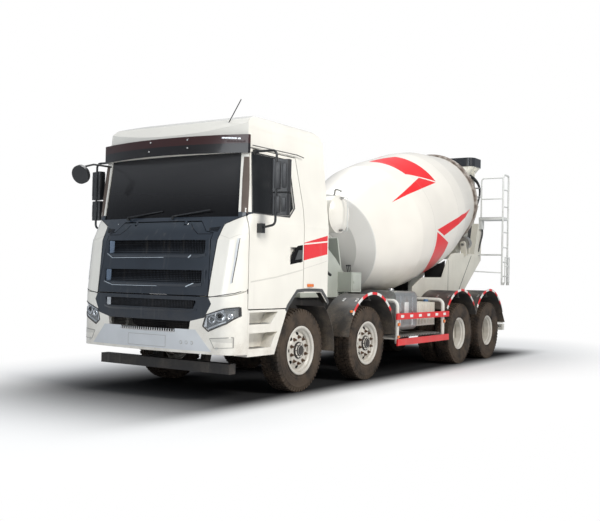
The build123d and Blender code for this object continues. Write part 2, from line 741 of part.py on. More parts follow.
# Doors with their window frames, glass and mirrors, hinged near the skin at the front edge
hinge_x = cab_half - hinge_inset
hinge_y = door_front_y + hinge_inset
door_pin = 6
mirror_x = 1500
mirror_top_x = 1165
mirror_y = axle1_y - 1010
for side_name, side in sides:
    with BuildPart() as door:
        add(cab_outer)
        add(door_inset, mode=Mode.SUBTRACT)
        with BuildSketch(Plane.YZ.offset(side * 1000)):
            with BuildLine():
                Polyline(*door_points, close=True)
            make_face()
        extrude(amount=side * 300, mode=Mode.INTERSECT)
        with BuildSketch(facing_front(door_rear_y + 200)):
            Polygon(
                (side * (door_inner_x + door_gap), cab_low - 100),
                (side * (door_inner_x + door_gap), belt_z),
                (side * (door_head_x + door_gap), 2990), (side * 1300, 2990),
                (side * 1300, cab_low - 100), align=None,
            )
        extrude(amount=1600, mode=Mode.INTERSECT)
        with BuildSketch(Plane.YZ.offset(side * 1000)):
            with BuildLine():
                Polyline(*window_points, close=True)
            make_face()
            with BuildLine():
                Polyline(*arch_points, close=True)
            make_face()
        extrude(amount=side * 300, mode=Mode.SUBTRACT)
        # Recess behind the handle
        with Locations((side * (cab_half - 10), door_rear_y - 175, 1735)):
            Box(60, 250, 190, mode=Mode.SUBTRACT)
        # Bore for the lower hinge's pin
        with Locations((side * hinge_x, hinge_y, cab_low)):
            Cylinder(door_pin + pin_gap, 80, mode=Mode.SUBTRACT)
    door.part.label = f"door_{side_name}"
    export_step(door.part, f"parts/door_{side_name}.step")

    with BuildPart() as door_glass:
        add(glass_outer)
        add(glass_inner, mode=Mode.SUBTRACT)
        with BuildSketch(Plane.YZ.offset(side * 1000)):
            with BuildLine():
                Polyline(*window_points, close=True)
            make_face()
            offset(amount=-seat_gap, kind=Kind.INTERSECTION)
        extrude(amount=side * 300, mode=Mode.INTERSECT)
    door_glass.part.label = f"door_glass_{side_name}"
    export_step(door_glass.part, f"parts/door_glass_{side_name}.step")

    # Main and wide-angle mirror on a tubular frame between two brackets on the door
    with BuildPart() as mirror_set:
        for low, high, width, depth in ((2440, 2815, 225, 95), (2165, 2420, 215, 85)):
            with BuildSketch(Plane.XY.offset(low)):
                with Locations((side * mirror_x, mirror_y)):
                    RectangleRounded(width, depth, 30, rotation=side * 18)
            extrude(amount=high - low)
        foot_x = cab_half - 10
        with BuildLine() as arm_path:
            FilletPolyline(
                (side * mirror_top_x, mirror_y - 60, glass_top_z + 20),
                (side * (mirror_x - 30), mirror_y - 60, glass_top_z + 20),
                (side * (mirror_x - 30), mirror_y - 60, 2060),
                (side * (foot_x + 20), mirror_y - 60, 2020),
                radius=60,
            )
        with BuildSketch(arm_path.line ^ 0):
            Circle(14)
        sweep()
        with Locations((side * (foot_x + 39), mirror_y - 60, 2020)):
            Box(78, 70, 110)
        with Locations((side * mirror_top_x, mirror_y - 60, glass_top_z + 20)):
            Box(60, 60, 44)
        with Locations((side * (mirror_x - 30), mirror_y - 32, 2600), (side * (mirror_x - 30), mirror_y - 32, 2300)):
            Box(30, 60, 40)
        add(cab_outer.moved(Pos(side * seat_gap, 0, 0)), mode=Mode.SUBTRACT)
    mirror_set.part.label = f"mirror_{side_name}"
    export_step(mirror_set.part, f"parts/mirror_{side_name}.step")

with BuildPart() as windscreen:
    add(glass_outer)
    add(glass_inner, mode=Mode.SUBTRACT)
    with BuildSketch(facing_front(axle1_y - 1000)):
        with BuildLine():
            Polyline(*screen_points, close=True)
        make_face()
        offset(amount=-seat_gap, kind=Kind.INTERSECTION)
    extrude(amount=700, mode=Mode.INTERSECT)
windscreen.part.label = "windscreen"
export_step(windscreen.part, "parts/windscreen.step")

# Front lid with two grille slots, closed behind by its mesh
slot_depth = 36
slot_rows = (  # low z, high z, half width at the foot, half width at the head
    (1362, 1515, 772, 790),
    (1702, 1868, 776, 798),
)
with BuildPart() as front_lid:
    add(cab_outer)
    add(cab_inset, mode=Mode.SUBTRACT)
    with BuildSketch(facing_front(axle1_y - 1270)):
        with BuildLine():
            Polyline(*lid_points, close=True)
        make_face()
    extrude(amount=500, mode=Mode.INTERSECT)
    slots = []
    for low, high, foot, head in slot_rows:
        with BuildSketch(facing_front(axle1_y - 1270)) as slot:
            with BuildLine():
                Polyline((foot, low), (head, high), (-head, high), (-foot, low), close=True)
            make_face()
            fillet(slot.vertices(), 25)
        slots.append(extrude(amount=500, mode=Mode.PRIVATE))
    for cut in slots:
        add(cut - cab_inset.moved(Pos(0, -8, 0)), mode=Mode.SUBTRACT)
    for flip in (1, -1):
        with Locations((flip * lid_hinge_x, lid_hinge_y, lid_hinge_z + 20)):
            Box(lid_lug + 12, 160, 80, mode=Mode.SUBTRACT)
        with Locations((flip * lid_hinge_x, lid_hinge_y, lid_hinge_z)):
            Cylinder(lid_pin + pin_gap, lid_lug + 50, rotation=(0, 90, 0), mode=Mode.SUBTRACT)
front_lid.part.label = "front_lid"
export_step(front_lid.part, "parts/front_lid.step")

# Sun visor wrapped round the roof's front
visor_low = 2890
visor_high = 3105
visor_half = 1165
with BuildPart() as sun_visor:
    for z, lean in ((visor_low, 0), (visor_high, 45)):
        with BuildSketch(Plane.XY.offset(z)) as outline:
            with BuildLine():
                Polyline(
                    (visor_half, axle1_y - 1215), (visor_half, axle1_y - 1170),
                    (-visor_half, axle1_y - 1170), (-visor_half, axle1_y - 1215),
                )
                ThreePointArc(
                    (-visor_half, axle1_y - 1215), (0, axle1_y - 1440 + lean),
                    (visor_half, axle1_y - 1215),
                )
            make_face()
    loft(ruled=True)
    for z, lean in ((visor_low - 1, 0), (visor_high + 1, 45)):
        with BuildSketch(Plane.XY.offset(z)) as inner_line:
            with BuildLine():
                Polyline(
                    (visor_half - 14, axle1_y - 1202), (visor_half - 14, axle1_y - 1100),
                    (14 - visor_half, axle1_y - 1100), (14 - visor_half, axle1_y - 1202),
                )
                ThreePointArc(
                    (14 - visor_half, axle1_y - 1202), (0, axle1_y - 1428 + lean),
                    (visor_half - 14, axle1_y - 1202),
                )
            make_face()
    loft(ruled=True, mode=Mode.SUBTRACT)
    for x, front, rear in ((260, 1388, 1200), (760, 1300, 1140)):
        for flip in (1, -1):
            with Locations((flip * x, axle1_y - (front + rear) / 2, visor_high - 40)):
                Box(30, front - rear, 20)
    add(cab_outer, mode=Mode.SUBTRACT)
sun_visor.part.label = "sun_visor"
export_step(sun_visor.part, "parts/sun_visor.step")

# Dashboard with steering column and wheel on the left, and two seats
wheel_x = 560
dash_half = cab_half - door_thick - 90
dash_bow = cell_bow * (dash_half / (cab_half - cab_wall)) ** 2
dash_front_y = firewall_y + cab_wall + dash_bow + seat_gap
column_plane = Plane((wheel_x, axle1_y - 640, 2010), x_dir=(1, 0, 0), z_dir=(0, 0.5, 0.866))
with BuildPart() as cab_interior:
    with BuildSketch(Plane.YZ) as dash:
        Polygon(
            (dash_front_y, 1790), (firewall_y + 430, 1800),
            (firewall_y + 400, 2060), (firewall_y + 230, 2140), (dash_front_y, 2140),
            align=None,
        )
    extrude(amount=dash_half, both=True)
    with BuildSketch(column_plane):
        Circle(42)
    extrude(amount=-320)
    with BuildSketch(column_plane):
        Circle(225)
        Circle(195, mode=Mode.SUBTRACT)
        Rectangle(400, 46)
        Circle(75)
    extrude(amount=30)
    for x in (wheel_x, -wheel_x):
        with Locations((x, axle1_y - 60, floor_z + 150 + seat_gap / 2)):
            Box(360, 380, 300 - seat_gap)
        with BuildSketch(Plane.YZ.offset(x - 240)) as bench:
            Polygon(
                (axle1_y - 330, floor_z + 300), (axle1_y - 330, floor_z + 430),
                (axle1_y + 80, floor_z + 400), (axle1_y + 190, floor_z + 1080),
                (axle1_y + 300, floor_z + 1080), (axle1_y + 200, floor_z + 300), align=None,
            )
        extrude(amount=480)
cab_interior.part.label = "cab_interior"
export_step(cab_interior.part, "parts/cab_interior.step")

# Wipers, aerial and the round front mirror, all black fittings on the cab
with BuildPart() as cab_fittings:
    for x in (-560, 180):
        with BuildSketch(Plane((x, axle1_y - 1388, belt_z + 12), z_dir=(1, 0.06, 0.12))):
            Rectangle(14, 20)
        extrude(amount=560)
        with BuildSketch(Plane((x, axle1_y - 1396, belt_z - 8), z_dir=(0, 1, 0))):
            Circle(16)
        extrude(amount=50)
    with BuildLine() as whip:
        Line((740, axle1_y - 1120, 3200), (975, axle1_y - 1120, 3545))
    with BuildSketch(whip.line ^ 0):
        Circle(6)
    sweep()
    with BuildLine() as front_arm:
        FilletPolyline(
            (-1075, axle1_y - 1190, 2840), (-1150, axle1_y - 1430, 2850),
            (-1190, axle1_y - 1620, 2790), radius=80,
        )
    with BuildSketch(front_arm.line ^ 0):
        Circle(12)
    sweep()
    with BuildSketch(Plane((-1195, axle1_y - 1580, 2715), z_dir=(0.2, -0.9, -0.35))):
        Circle(120)
    extrude(amount=50)
    add(cab_outer, mode=Mode.SUBTRACT)
cab_fittings.part.label = "cab_fittings"
export_step(cab_fittings.part, "parts/cab_fittings.step")

# Bumper with corners, its dark lower grille trim, lamps and step panels
bumper_sections = (
    (bumper_low, axle1_y - 1493, axle1_y - front_reach, 230),
    (lid_low + 100, axle1_y - 1493, axle1_y - front_reach, 230),
)


def bumper_form(inset, low=0, grow=0):
    """Closed form of the bumper's corners and middle."""
    half = cab_half - inset
    with BuildPart() as form:
        for index, (z, corner_y, middle_y, radius) in enumerate(bumper_sections):
            drop = low if index == 0 else -grow
            with BuildSketch(Plane.XY.offset(z - drop)) as plan:
                with BuildLine():
                    Polyline(
                        (half, corner_y + inset), (half, door_front_y + 2 * inset),
                        (-half, door_front_y + 2 * inset), (-half, corner_y + inset),
                    )
                    ThreePointArc(
                        (-half, corner_y + inset), (0, middle_y + inset), (half, corner_y + inset)
                    )
                make_face()
                fillet(plan.vertices().group_by(Axis.Y)[0], radius - inset)
        loft(ruled=True)
    return form.part


bumper_outer = bumper_form(0)
bumper_inset = bumper_form(bumper_wall, 40, 40)
trim_points = (
    (892, lid_low - 8), (935, 1135), (850, 975), (640, 925), (-640, 925), (-850, 975),
    (-935, 1135), (-892, lid_low - 8),
)
lamp_points = (
    (830, 875), (870, 1010), (1100, 1085), (1228, 1105), (1228, 1000), (1130, 915), (905, 820),
)
recess_points = ((660, 930), (640, trim_low), (-640, trim_low), (-660, 930))

with BuildPart() as bumper:
    add(bumper_outer)
    add(bumper_inset, mode=Mode.SUBTRACT)
    with BuildSketch(Plane.YZ):
        Polygon(
            (axle1_y - 1800, lid_low - 8), (axle1_y - 1547, lid_low - 8),
            (door_front_y - 6, lid_low + 72), (door_front_y - 6, lid_low + 300),
            (axle1_y - 1800, lid_low + 300), align=None,
        )
    extrude(amount=cab_half + 10, both=True, mode=Mode.SUBTRACT)
    with BuildSketch(facing_front(axle1_y - 1270)):
        with BuildLine():
            Polyline(*trim_points, close=True)
        make_face()
        with BuildLine():
            Polyline(*recess_points, close=True)
        make_face()
        with Locations((0, lid_low + 20)):
            Rectangle(2 * 892, 80)
        for flip in (1, -1):
            with BuildLine():
                Polyline(*[(flip * x, z) for x, z in lamp_points], close=True)
            make_face()
    extrude(amount=500, mode=Mode.SUBTRACT)
    with BuildSketch(facing_front(axle1_y - 1270)):
        with Locations((0, 700)):
            Rectangle(460, 150)
    plate_cut = extrude(amount=500, mode=Mode.PRIVATE)
    add(plate_cut - bumper_inset.moved(Pos(0, bumper_wall / 3 - bumper_wall, 0)), mode=Mode.SUBTRACT)
    # Room for the doors' front edges, which swing past the bumper's ends
    for side_name, side in sides:
        with Locations((side * 1215, axle1_y - 1252 + 50, 1202)):
            Box(80, 100, 256, mode=Mode.SUBTRACT)
    # Brackets from the cab's tilt arms to the bumper
    arm_front_y = tilt_pivot_y - 50 - seat_gap
    for side_name, side in sides:
        with Locations((side * tilt_x, arm_front_y - 25, 820)):
            Box(40, 50, 170)
        with Locations((side * tilt_x, arm_front_y - 105, 770)):
            Box(40, 210, 70)
bumper.part.label = "bumper"
export_step(bumper.part, "parts/bumper.step")

with BuildPart() as lower_grille:
    add(bumper_outer)
    add(bumper_inset, mode=Mode.SUBTRACT)
    with BuildSketch(facing_front(axle1_y - 1270)):
        with BuildLine():
            Polyline(*trim_points, close=True)
        make_face()
        offset(amount=-seat_gap, kind=Kind.INTERSECTION)
    extrude(amount=500, mode=Mode.INTERSECT)
    with BuildSketch(facing_front(axle1_y - 1270)) as slot:
        with BuildLine():
            Polyline((690, 1068), (740, 1168), (-740, 1168), (-690, 1068), close=True)
        make_face()
        fillet(slot.vertices(), 20)
    slot_cut = extrude(amount=500, mode=Mode.PRIVATE)
    add(slot_cut - bumper_inset.moved(Pos(0, -8, 0)), mode=Mode.SUBTRACT)
    for side_name, side in sides:
        with Locations((side * tilt_x, arm_front_y - 102, 938)):
            Box(40, 204, 24)
lower_grille.part.label = "lower_grille"
export_step(lower_grille.part, "parts/lower_grille.step")

with BuildPart() as headlamps:
    add(bumper_outer)
    add(bumper_inset, mode=Mode.SUBTRACT)
    with BuildSketch(facing_front(axle1_y - 1270 - seat_gap)):
        for flip in (1, -1):
            with BuildLine():
                Polyline(*[(flip * x, z) for x, z in lamp_points], close=True)
            make_face()
            offset(amount=-seat_gap, kind=Kind.INTERSECTION)
    extrude(amount=500, mode=Mode.INTERSECT)
headlamps.part.label = "headlamps"
export_step(headlamps.part, "parts/headlamps.step")

# Step panels with two recessed treads between the bumper's corners and the front wheels
step_rear_low = axle1_y - 700
step_depth = 190
with BuildPart() as step_panels:
    with BuildSketch(Plane.YZ.offset(cab_half - step_depth)):
        with BuildLine():
            Polyline(
                (door_front_y + 2, cab_low - 14), (axle1_y - 440, cab_low - 14),
                (step_rear_low, bumper_low - 30), (door_front_y + 2, bumper_low - 30), close=True,
            )
        make_face()
    extrude(amount=step_depth)
    for low, high in ((cab_low - 180, cab_low - 40), (620, 800)):
        with BuildSketch(Plane.YZ.offset(cab_half + 5)):
            with BuildLine():
                Polyline(
                    (door_front_y + 30, high), (axle1_y - 640, high), (axle1_y - 700, high - 50),
                    (axle1_y - 780, low), (door_front_y + 30, low), close=True,
                )
            make_face()
        extrude(amount=-step_depth + 25, mode=Mode.SUBTRACT)
    # Arms that hang the panels from the cab's tilt arms
    arm_start = tilt_x + 20 + seat_gap
    arm_length = cab_half - step_depth + 5 - arm_start
    with Locations((arm_start + arm_length / 2, door_front_y - 5, cab_low - 60)):
        Box(arm_length, 90, 60)
    # Pins that the doors' lower hinges turn on
    with Locations((hinge_x, hinge_y, cab_low)):
        Cylinder(door_pin, 70)
    mirror(about=Plane.YZ)
step_panels.part.label = "step_panels"
export_step(step_panels.part, "parts/step_panels.step")

# Mixer drum: double cone shell with a dished head, roller ring and open mouth
drum_profile = (  # distance behind the ring, radius
    (head_s, head_radius), (-2850, drum_radius - 28), (-2430, drum_radius), (-1400, drum_radius),
    (-1020, drum_radius - 32), (0, ring_radius - 36), (mouth_s, mouth_radius),
)
head_profile = ((head_s, head_radius), (head_s - 150, 560), (head_s - 215, 280), (head_s - 215, 0))
hub_s = head_s - 215
flange_s = hub_s - 60
drum_line = Axis(along_drum(0), drum_axis)
drum_plane = Plane(along_drum(0), x_dir=drum_axis, z_dir=(1, 0, 0))
with BuildPart() as drum:
    with BuildSketch(drum_plane):
        with BuildLine():
            Polyline(
                *reversed(head_profile), *drum_profile[1:],
                *[(s, r - drum_wall) for s, r in reversed(drum_profile[1:])],
                (head_s + drum_wall, head_radius - drum_wall),
                (head_s - 150 + drum_wall, 560 - drum_wall), (hub_s + drum_wall, 280 - drum_wall),
                (hub_s + drum_wall, 0), close=True,
            )
        make_face()
        with Locations((0, ring_radius - 22)):
            Rectangle(ring_width, 44)
        with BuildLine():
            Polyline(
                (hub_s + 4, 0), (hub_s + 4, 250), (hub_s - 8, 250), (hub_s - 24, 190),
                (flange_s, 190), (flange_s, 0), close=True,
            )
        make_face()
        with Locations((mouth_s - 12, mouth_radius + 6)):
            Rectangle(24, 36)
    revolve(axis=drum_line)
drum.part.label = "drum"
export_step(drum.part, "parts/drum.step")

# The two rollers that carry the ring
roller_reach = ring_radius + seat_gap + roller_radius
for side_name, side in sides:
    with BuildPart() as roller:
        with BuildSketch(across_drum(-roller_width / 2, roller_reach, side * roller_angle)):
            Circle(roller_radius)
        extrude(amount=roller_width)
        with BuildSketch(across_drum(-roller_width / 2 - 70, roller_reach, side * roller_angle)):
            Circle(roller_shaft)
        extrude(amount=roller_width + 140)
    roller.part.label = f"roller_{side_name}"
    export_step(roller.part, f"parts/roller_{side_name}.step")

# Drive at the drum's head: gearbox, motor and the front stand that holds it
gearbox_front_s = flange_s - 330
stand_half = 470
stand_top = 1985
with BuildPart() as drum_drive:
    with BuildSketch(across_drum(flange_s - seat_gap)):
        Circle(200)
    extrude(amount=-60)
    with BuildSketch(across_drum(flange_s - 40)):
        Circle(250)
    extrude(amount=-120)
    with BuildSketch(across_drum(flange_s - 150)):
        Circle(205)
    extrude(amount=gearbox_front_s - flange_s + 150)
    with BuildSketch(across_drum(gearbox_front_s + 5)):
        Circle(110)
    extrude(amount=-260)
drum_drive.part.label = "drum_drive"
export_step(drum_drive.part, "parts/drum_drive.step")

stand_front_y = axle1_y + 1000
with BuildPart() as front_stand:
    with BuildSketch(Plane.YZ.offset(stand_half - 12)):
        Polygon(
            (stand_front_y, subframe_top), (stand_front_y, 1700), (stand_front_y + 120, 2080),
            (stand_front_y + 420, 2080), (axle1_y + 1960, 1750), (axle1_y + 2260, 1500),
            (axle1_y + 2330, subframe_top), align=None,
        )
    extrude(amount=12)
    with Locations((stand_half - 60, axle1_y + 1600, subframe_top + 12)):
        Box(160, 1260, 24)
    mirror(about=Plane.YZ)
    with BuildSketch(Plane.YZ):
        Polygon(
            (stand_front_y + 12, 1560), (axle1_y + 2010, 1560), (axle1_y + 2010, 1530),
            (stand_front_y + 12, 1530), align=None,
        )
        Polygon(
            (stand_front_y, subframe_top + 20), (stand_front_y + 14, subframe_top + 20),
            (stand_front_y + 14, 1700), (stand_front_y, 1700), align=None,
        )
    extrude(amount=stand_half - 6, both=True)
    # Cradle plate square to the drum's axis round the gearbox
    with BuildSketch(across_drum(gearbox_front_s + 80)):
        with Locations((0, 60)):
            Rectangle(2 * stand_half - 10, 560)
        Circle(205 + seat_gap, mode=Mode.SUBTRACT)
    extrude(amount=30)
    # Saddles for the water tank
    for x in (stand_half - 60, 60 - stand_half):
        with BuildSketch(Plane.YZ.offset(x - 20)):
            Polygon(
                (stand_front_y - 60, 2050), (stand_front_y + 300, 2050), (stand_front_y + 300, 2240),
                (stand_front_y - 60, 2240), align=None,
            )
            with Locations((stand_front_y + 120, 2350)):
                Circle(262 + seat_gap, mode=Mode.SUBTRACT)
        extrude(amount=40)
    with Locations((0, stand_front_y + 270, 2068)):
        Box(2 * stand_half - 10, 300, 24)
    # Control box on the left side
    with Locations((stand_half + 120, axle1_y + 2180, 1400)):
        Box(240, 300, 300)
    with Locations((stand_half + 20, axle1_y + 2180, 1230)):
        Box(80, 120, 80)
front_stand.part.label = "front_stand"
export_step(front_stand.part, "parts/front_stand.step")

tank_y = stand_front_y + 120
tank_z = 2350
tank_radius = 262
tank_half = 1010
tank_dish = 95
with BuildPart() as water_tank:
    with BuildSketch(Plane((0, tank_y, tank_z), x_dir=(1, 0, 0), z_dir=(0, -1, 0))):
        with BuildLine():
            Polyline((0, 0), (tank_half + tank_dish, 0))
            ThreePointArc(
                (tank_half + tank_dish, 0), (tank_half + tank_dish * 0.72, tank_radius * 0.6),
                (tank_half, tank_radius),
            )
            Polyline((tank_half, tank_radius), (0, tank_radius), (0, 0))
        make_face()
    revolve(axis=Axis((0, tank_y, tank_z), (1, 0, 0)))
    mirror(about=Plane.YZ)
water_tank.part.label = "water_tank"
export_step(water_tank.part, "parts/water_tank.step")

# Rear stand: side plates, box posts, roller shelf and roller brackets
stand_x = 600
post_depth = 150
pivot_y = axle1_y + 7710
post_radius = 45
bearing_heights = (1265, 1600)
column_y = axle1_y + 7525
column_depth = 60
shelf_z = 1990
with BuildPart() as rear_stand:
    with BuildSketch(Plane.YZ.offset(stand_x - 12)):
        Polygon(
            (axle1_y + 4340, subframe_top - 30), (axle1_y + 4340, 1330), (axle1_y + 4720, 1500),
            (axle1_y + 5570, 1510), (axle1_y + 5810, 1830), (axle1_y + 6010, 1960),
            (axle1_y + 6210, shelf_z), (axle1_y + 7140, shelf_z), (axle1_y + 7070, 1870),
            (axle1_y + 6640, 1290), (axle1_y + 6560, subframe_top - 30), align=None,
        )
    extrude(amount=12)
    with BuildSketch(Plane.YZ.offset(stand_x - post_depth)):
        Polygon(
            (axle1_y + 6560, subframe_top), (axle1_y + 6680, 1290), (axle1_y + 7500, 1880),
            (axle1_y + 7520, 2620), (axle1_y + 7340, 2620), (axle1_y + 7140, shelf_z),
            (axle1_y + 6900, 1800), (axle1_y + 6380, 1400), (axle1_y + 6200, subframe_top),
            align=None,
        )
    extrude(amount=post_depth)
    with Locations(((rail_x + seat_gap + stand_x - 6) / 2, axle1_y + 5440, subframe_top - 20)):
        Box(stand_x - 6 - rail_x - seat_gap, 2180, 40)
    mirror(about=Plane.YZ)
    with Locations((0, axle1_y + 6700, shelf_z - 40)):
        Box(2 * stand_x - 20, 760, 80)
    with Locations((0, axle1_y + 7440, 2500)):
        Box(2 * (stand_x - post_depth) + 20, 70, 120)
    # Beam and column that carry the chute post's two bearings
    with Locations((0, axle1_y + 7440, 1940)):
        Box(2 * (stand_x - post_depth) + 20, 70, 90)
    with Locations((0, column_y, 1610)):
        Box(120, column_depth, 750)
    with Locations((0, axle1_y + 7500, 1950)):
        Box(120, 90, 70)
    for z in bearing_heights:
        with Locations((0, (column_y + pivot_y) / 2, z)):
            Box(110, pivot_y - column_y, 60)
        with Locations((0, pivot_y, z)):
            Cylinder(post_radius + 26, 60)
    for z in bearing_heights:
        with Locations((0, pivot_y, z)):
            Cylinder(post_radius + pin_gap, 80, mode=Mode.SUBTRACT)
    for side_name, side in sides:
        for s in (-roller_width / 2 - 38, roller_width / 2 + 12):
            foot = along_drum(s, roller_reach, side * roller_angle)
            with BuildSketch(across_drum(s, roller_reach, side * roller_angle)):
                Circle(58)
                with Locations((0, 120)):
                    Rectangle(116, 240)
            extrude(amount=26)
        with BuildSketch(across_drum(-roller_width / 2 - 60, roller_reach, side * roller_angle)):
            Circle(roller_shaft + pin_gap)
        extrude(amount=roller_width + 120, mode=Mode.SUBTRACT)
rear_stand.part.label = "rear_stand"
export_step(rear_stand.part, "parts/rear_stand.step")

# Feed hopper: rounded funnel that reaches into the drum's mouth, held by legs on the rear stand
hopper_y = (hopper_front_y + hopper_rear_y) / 2
hopper_depth = hopper_rear_y - hopper_front_y
spout_y = axle1_y + 7190
spout_z = 3290
with BuildPart() as feed_hopper:
    for inset, mode in ((14, Mode.ADD), (14 + sheet, Mode.SUBTRACT)):
        rise = 0 if mode == Mode.ADD else 2
        for z in (hopper_top - 40 + rise, hopper_top - band_height - 5):
            with BuildSketch(Plane.XY.offset(z)):
                with Locations((0, hopper_y)):
                    RectangleRounded(2 * (hopper_half_x - inset), hopper_depth - 2 * inset, 120)
        with BuildSketch(Plane.XY.offset(spout_z - rise)):
            with Locations((0, spout_y)):
                RectangleRounded(440 - 2 * inset, 330 - 2 * inset, 70)
        loft(ruled=True, mode=mode)
    for side_name, side in sides:
        with BuildSketch(Plane((side * 430, axle1_y + 7440, 2560 + seat_gap + 60), z_dir=(0, 0, 1))):
            Rectangle(50, 60)
        extrude(amount=1120)
        with Locations((side * 452, axle1_y + 7440, hopper_top - 230)):
            Box(70, 60, 60)
feed_hopper.part.label = "feed_hopper"
export_step(feed_hopper.part, "parts/feed_hopper.step")

with BuildPart() as hopper_band:
    with BuildSketch(Plane.XY.offset(hopper_top - band_height)):
        with Locations((0, hopper_y)):
            RectangleRounded(2 * hopper_half_x, hopper_depth, 130)
            RectangleRounded(
                2 * (hopper_half_x - 14 + seat_gap), hopper_depth - 28 + 2 * seat_gap, 120,
                mode=Mode.SUBTRACT,
            )
    extrude(amount=band_height)
hopper_band.part.label = "hopper_band"
export_step(hopper_band.part, "parts/hopper_band.step")

# Discharge hopper that catches what leaves the mouth and drops it into the chute
with BuildPart() as discharge_hopper:
    for inset, mode in ((0, Mode.ADD), (sheet, Mode.SUBTRACT)):
        rise = 0 if mode == Mode.ADD else 2
        with BuildSketch(Plane.XY.offset(3020 + rise)):
            with Locations((0, axle1_y + 7630)):
                Rectangle(860 - 2 * inset, 280 - 2 * inset)
        with BuildSketch(Plane.XY.offset(2270 - rise)):
            with Locations((0, axle1_y + 7660)):
                Rectangle(340 - 2 * inset, 250 - 2 * inset)
        loft(ruled=True, mode=mode)
    with Locations((0, axle1_y + 7475 + seat_gap + 25, 2500)):
        Box(260, 50, 90)
discharge_hopper.part.label = "discharge_hopper"
export_step(discharge_hopper.part, "parts/discharge_hopper.step")

# Chute: a swivel post behind the stand, the trough stowed to the right, and its jack
chute_pin_x = -120
chute_pin_z = 1960
chute_pin = 14
chute_length = 1180
chute_slope = 12
chute_radius = 160
chute_wall = 6
chute_rise = 35
cheek_y = 110
cheek_wall = 16
lug_wall = 12
lug_y = cheek_y - cheek_wall / 2 - 5 - lug_wall / 2
lug_depth = 34
post_low = 1180
post_high = 1860
jack_pin = 12
jack_foot_x = -165
jack_foot_z = 1410
jack_reach = 470
jack_drop = 10
barrel_radius = 34
barrel_length = 420
rod_radius = 18

slope = math.radians(chute_slope)
chute_run = (-math.cos(slope), 0, -math.sin(slope))
chute_plane = Plane((chute_pin_x, pivot_y, chute_pin_z), x_dir=(0, -1, 0), z_dir=chute_run)
jack_eye = (
    chute_pin_x - jack_reach * math.cos(slope) + jack_drop * math.sin(slope),
    pivot_y,
    chute_pin_z - jack_reach * math.sin(slope) - jack_drop * math.cos(slope),
)
jack_run = Vector(*jack_eye) - Vector(jack_foot_x, pivot_y, jack_foot_z)
jack_plane = Plane((jack_foot_x, pivot_y, jack_foot_z), x_dir=(0, 1, 0), z_dir=jack_run)

with BuildPart() as chute_post:
    with Locations((0, pivot_y, (post_low + post_high) / 2)):
        Cylinder(post_radius, post_high - post_low)
    for z in (bearing_heights[1] + 30 + pin_gap + 10, bearing_heights[0] - 30 - pin_gap - 10):
        with Locations((0, pivot_y, z)):
            Cylinder(post_radius + 22, 20)
    with Locations((-15, pivot_y, post_high - 10)):
        Box(210, 2 * cheek_y + cheek_wall, 40)
    for y in (pivot_y - cheek_y, pivot_y + cheek_y):
        with BuildSketch(facing_front(y + cheek_wall / 2)):
            Polygon(
                (90, post_high - 30), (90, post_high + 10), (chute_pin_x + 36, chute_pin_z + 26),
                (chute_pin_x - 30, chute_pin_z + 26), (chute_pin_x - 30, chute_pin_z - 40),
                (-60, post_high - 30), align=None,
            )
        extrude(amount=cheek_wall)
    with Locations((chute_pin_x, pivot_y, chute_pin_z)):
        Cylinder(chute_pin, 2 * cheek_y + cheek_wall, rotation=(90, 0, 0))
    # Fork for the jack's foot
    for y in (pivot_y - 26, pivot_y + 26):
        with Locations((jack_foot_x / 2 - 12, y, jack_foot_z)):
            Box(-jack_foot_x + 24, 12, 54)
    with Locations((jack_foot_x, pivot_y, jack_foot_z)):
        Cylinder(jack_pin, 64, rotation=(90, 0, 0))
chute_post.part.label = "chute_post"
export_step(chute_post.part, "parts/chute_post.step")

with BuildPart() as chute:
    with BuildSketch(chute_plane.offset(-160)):
        with Locations((0, chute_rise + chute_radius)):
            Circle(chute_radius)
        with Locations((0, chute_rise + chute_radius + 35)):
            Rectangle(2 * chute_radius, 70)
        with Locations((0, chute_rise + chute_radius)):
            Circle(chute_radius - chute_wall, mode=Mode.SUBTRACT)
        with Locations((0, chute_rise + chute_radius + 120)):
            Rectangle(2 * (chute_radius - chute_wall), 240, mode=Mode.SUBTRACT)
    extrude(amount=chute_length)
    for y in (-lug_y, lug_y):
        with BuildSketch(Plane.XZ.offset(-(pivot_y + y + lug_wall / 2))):
            with Locations((chute_pin_x, chute_pin_z)):
                Circle(lug_depth / 2 + 10)
                with Locations(Location((0, 0, 0), (0, 0, chute_slope))):
                    with Locations((0, (chute_rise + 40) / 2)):
                        Rectangle(56, chute_rise + 40)
        extrude(amount=lug_wall)
    with Locations((chute_pin_x, pivot_y, chute_pin_z)):
        Cylinder(chute_pin + pin_gap, 2 * cheek_y, rotation=(90, 0, 0), mode=Mode.SUBTRACT)
    # Two lugs and a pin for the jack's rod
    for y in (-26, 26):
        with BuildSketch(Plane.XZ.offset(-(pivot_y + y + 5))):
            with Locations((jack_eye[0], jack_eye[2])):
                Circle(22)
                with Locations(Location((0, 0, 0), (0, 0, chute_slope))):
                    with Locations((0, (jack_drop + chute_rise + 4) / 2)):
                        Rectangle(44, jack_drop + chute_rise + 4)
        extrude(amount=10)
    with Locations(jack_eye):
        Cylinder(jack_pin - 2, 62, rotation=(90, 0, 0))
chute.part.label = "chute"
export_step(chute.part, "parts/chute.step")

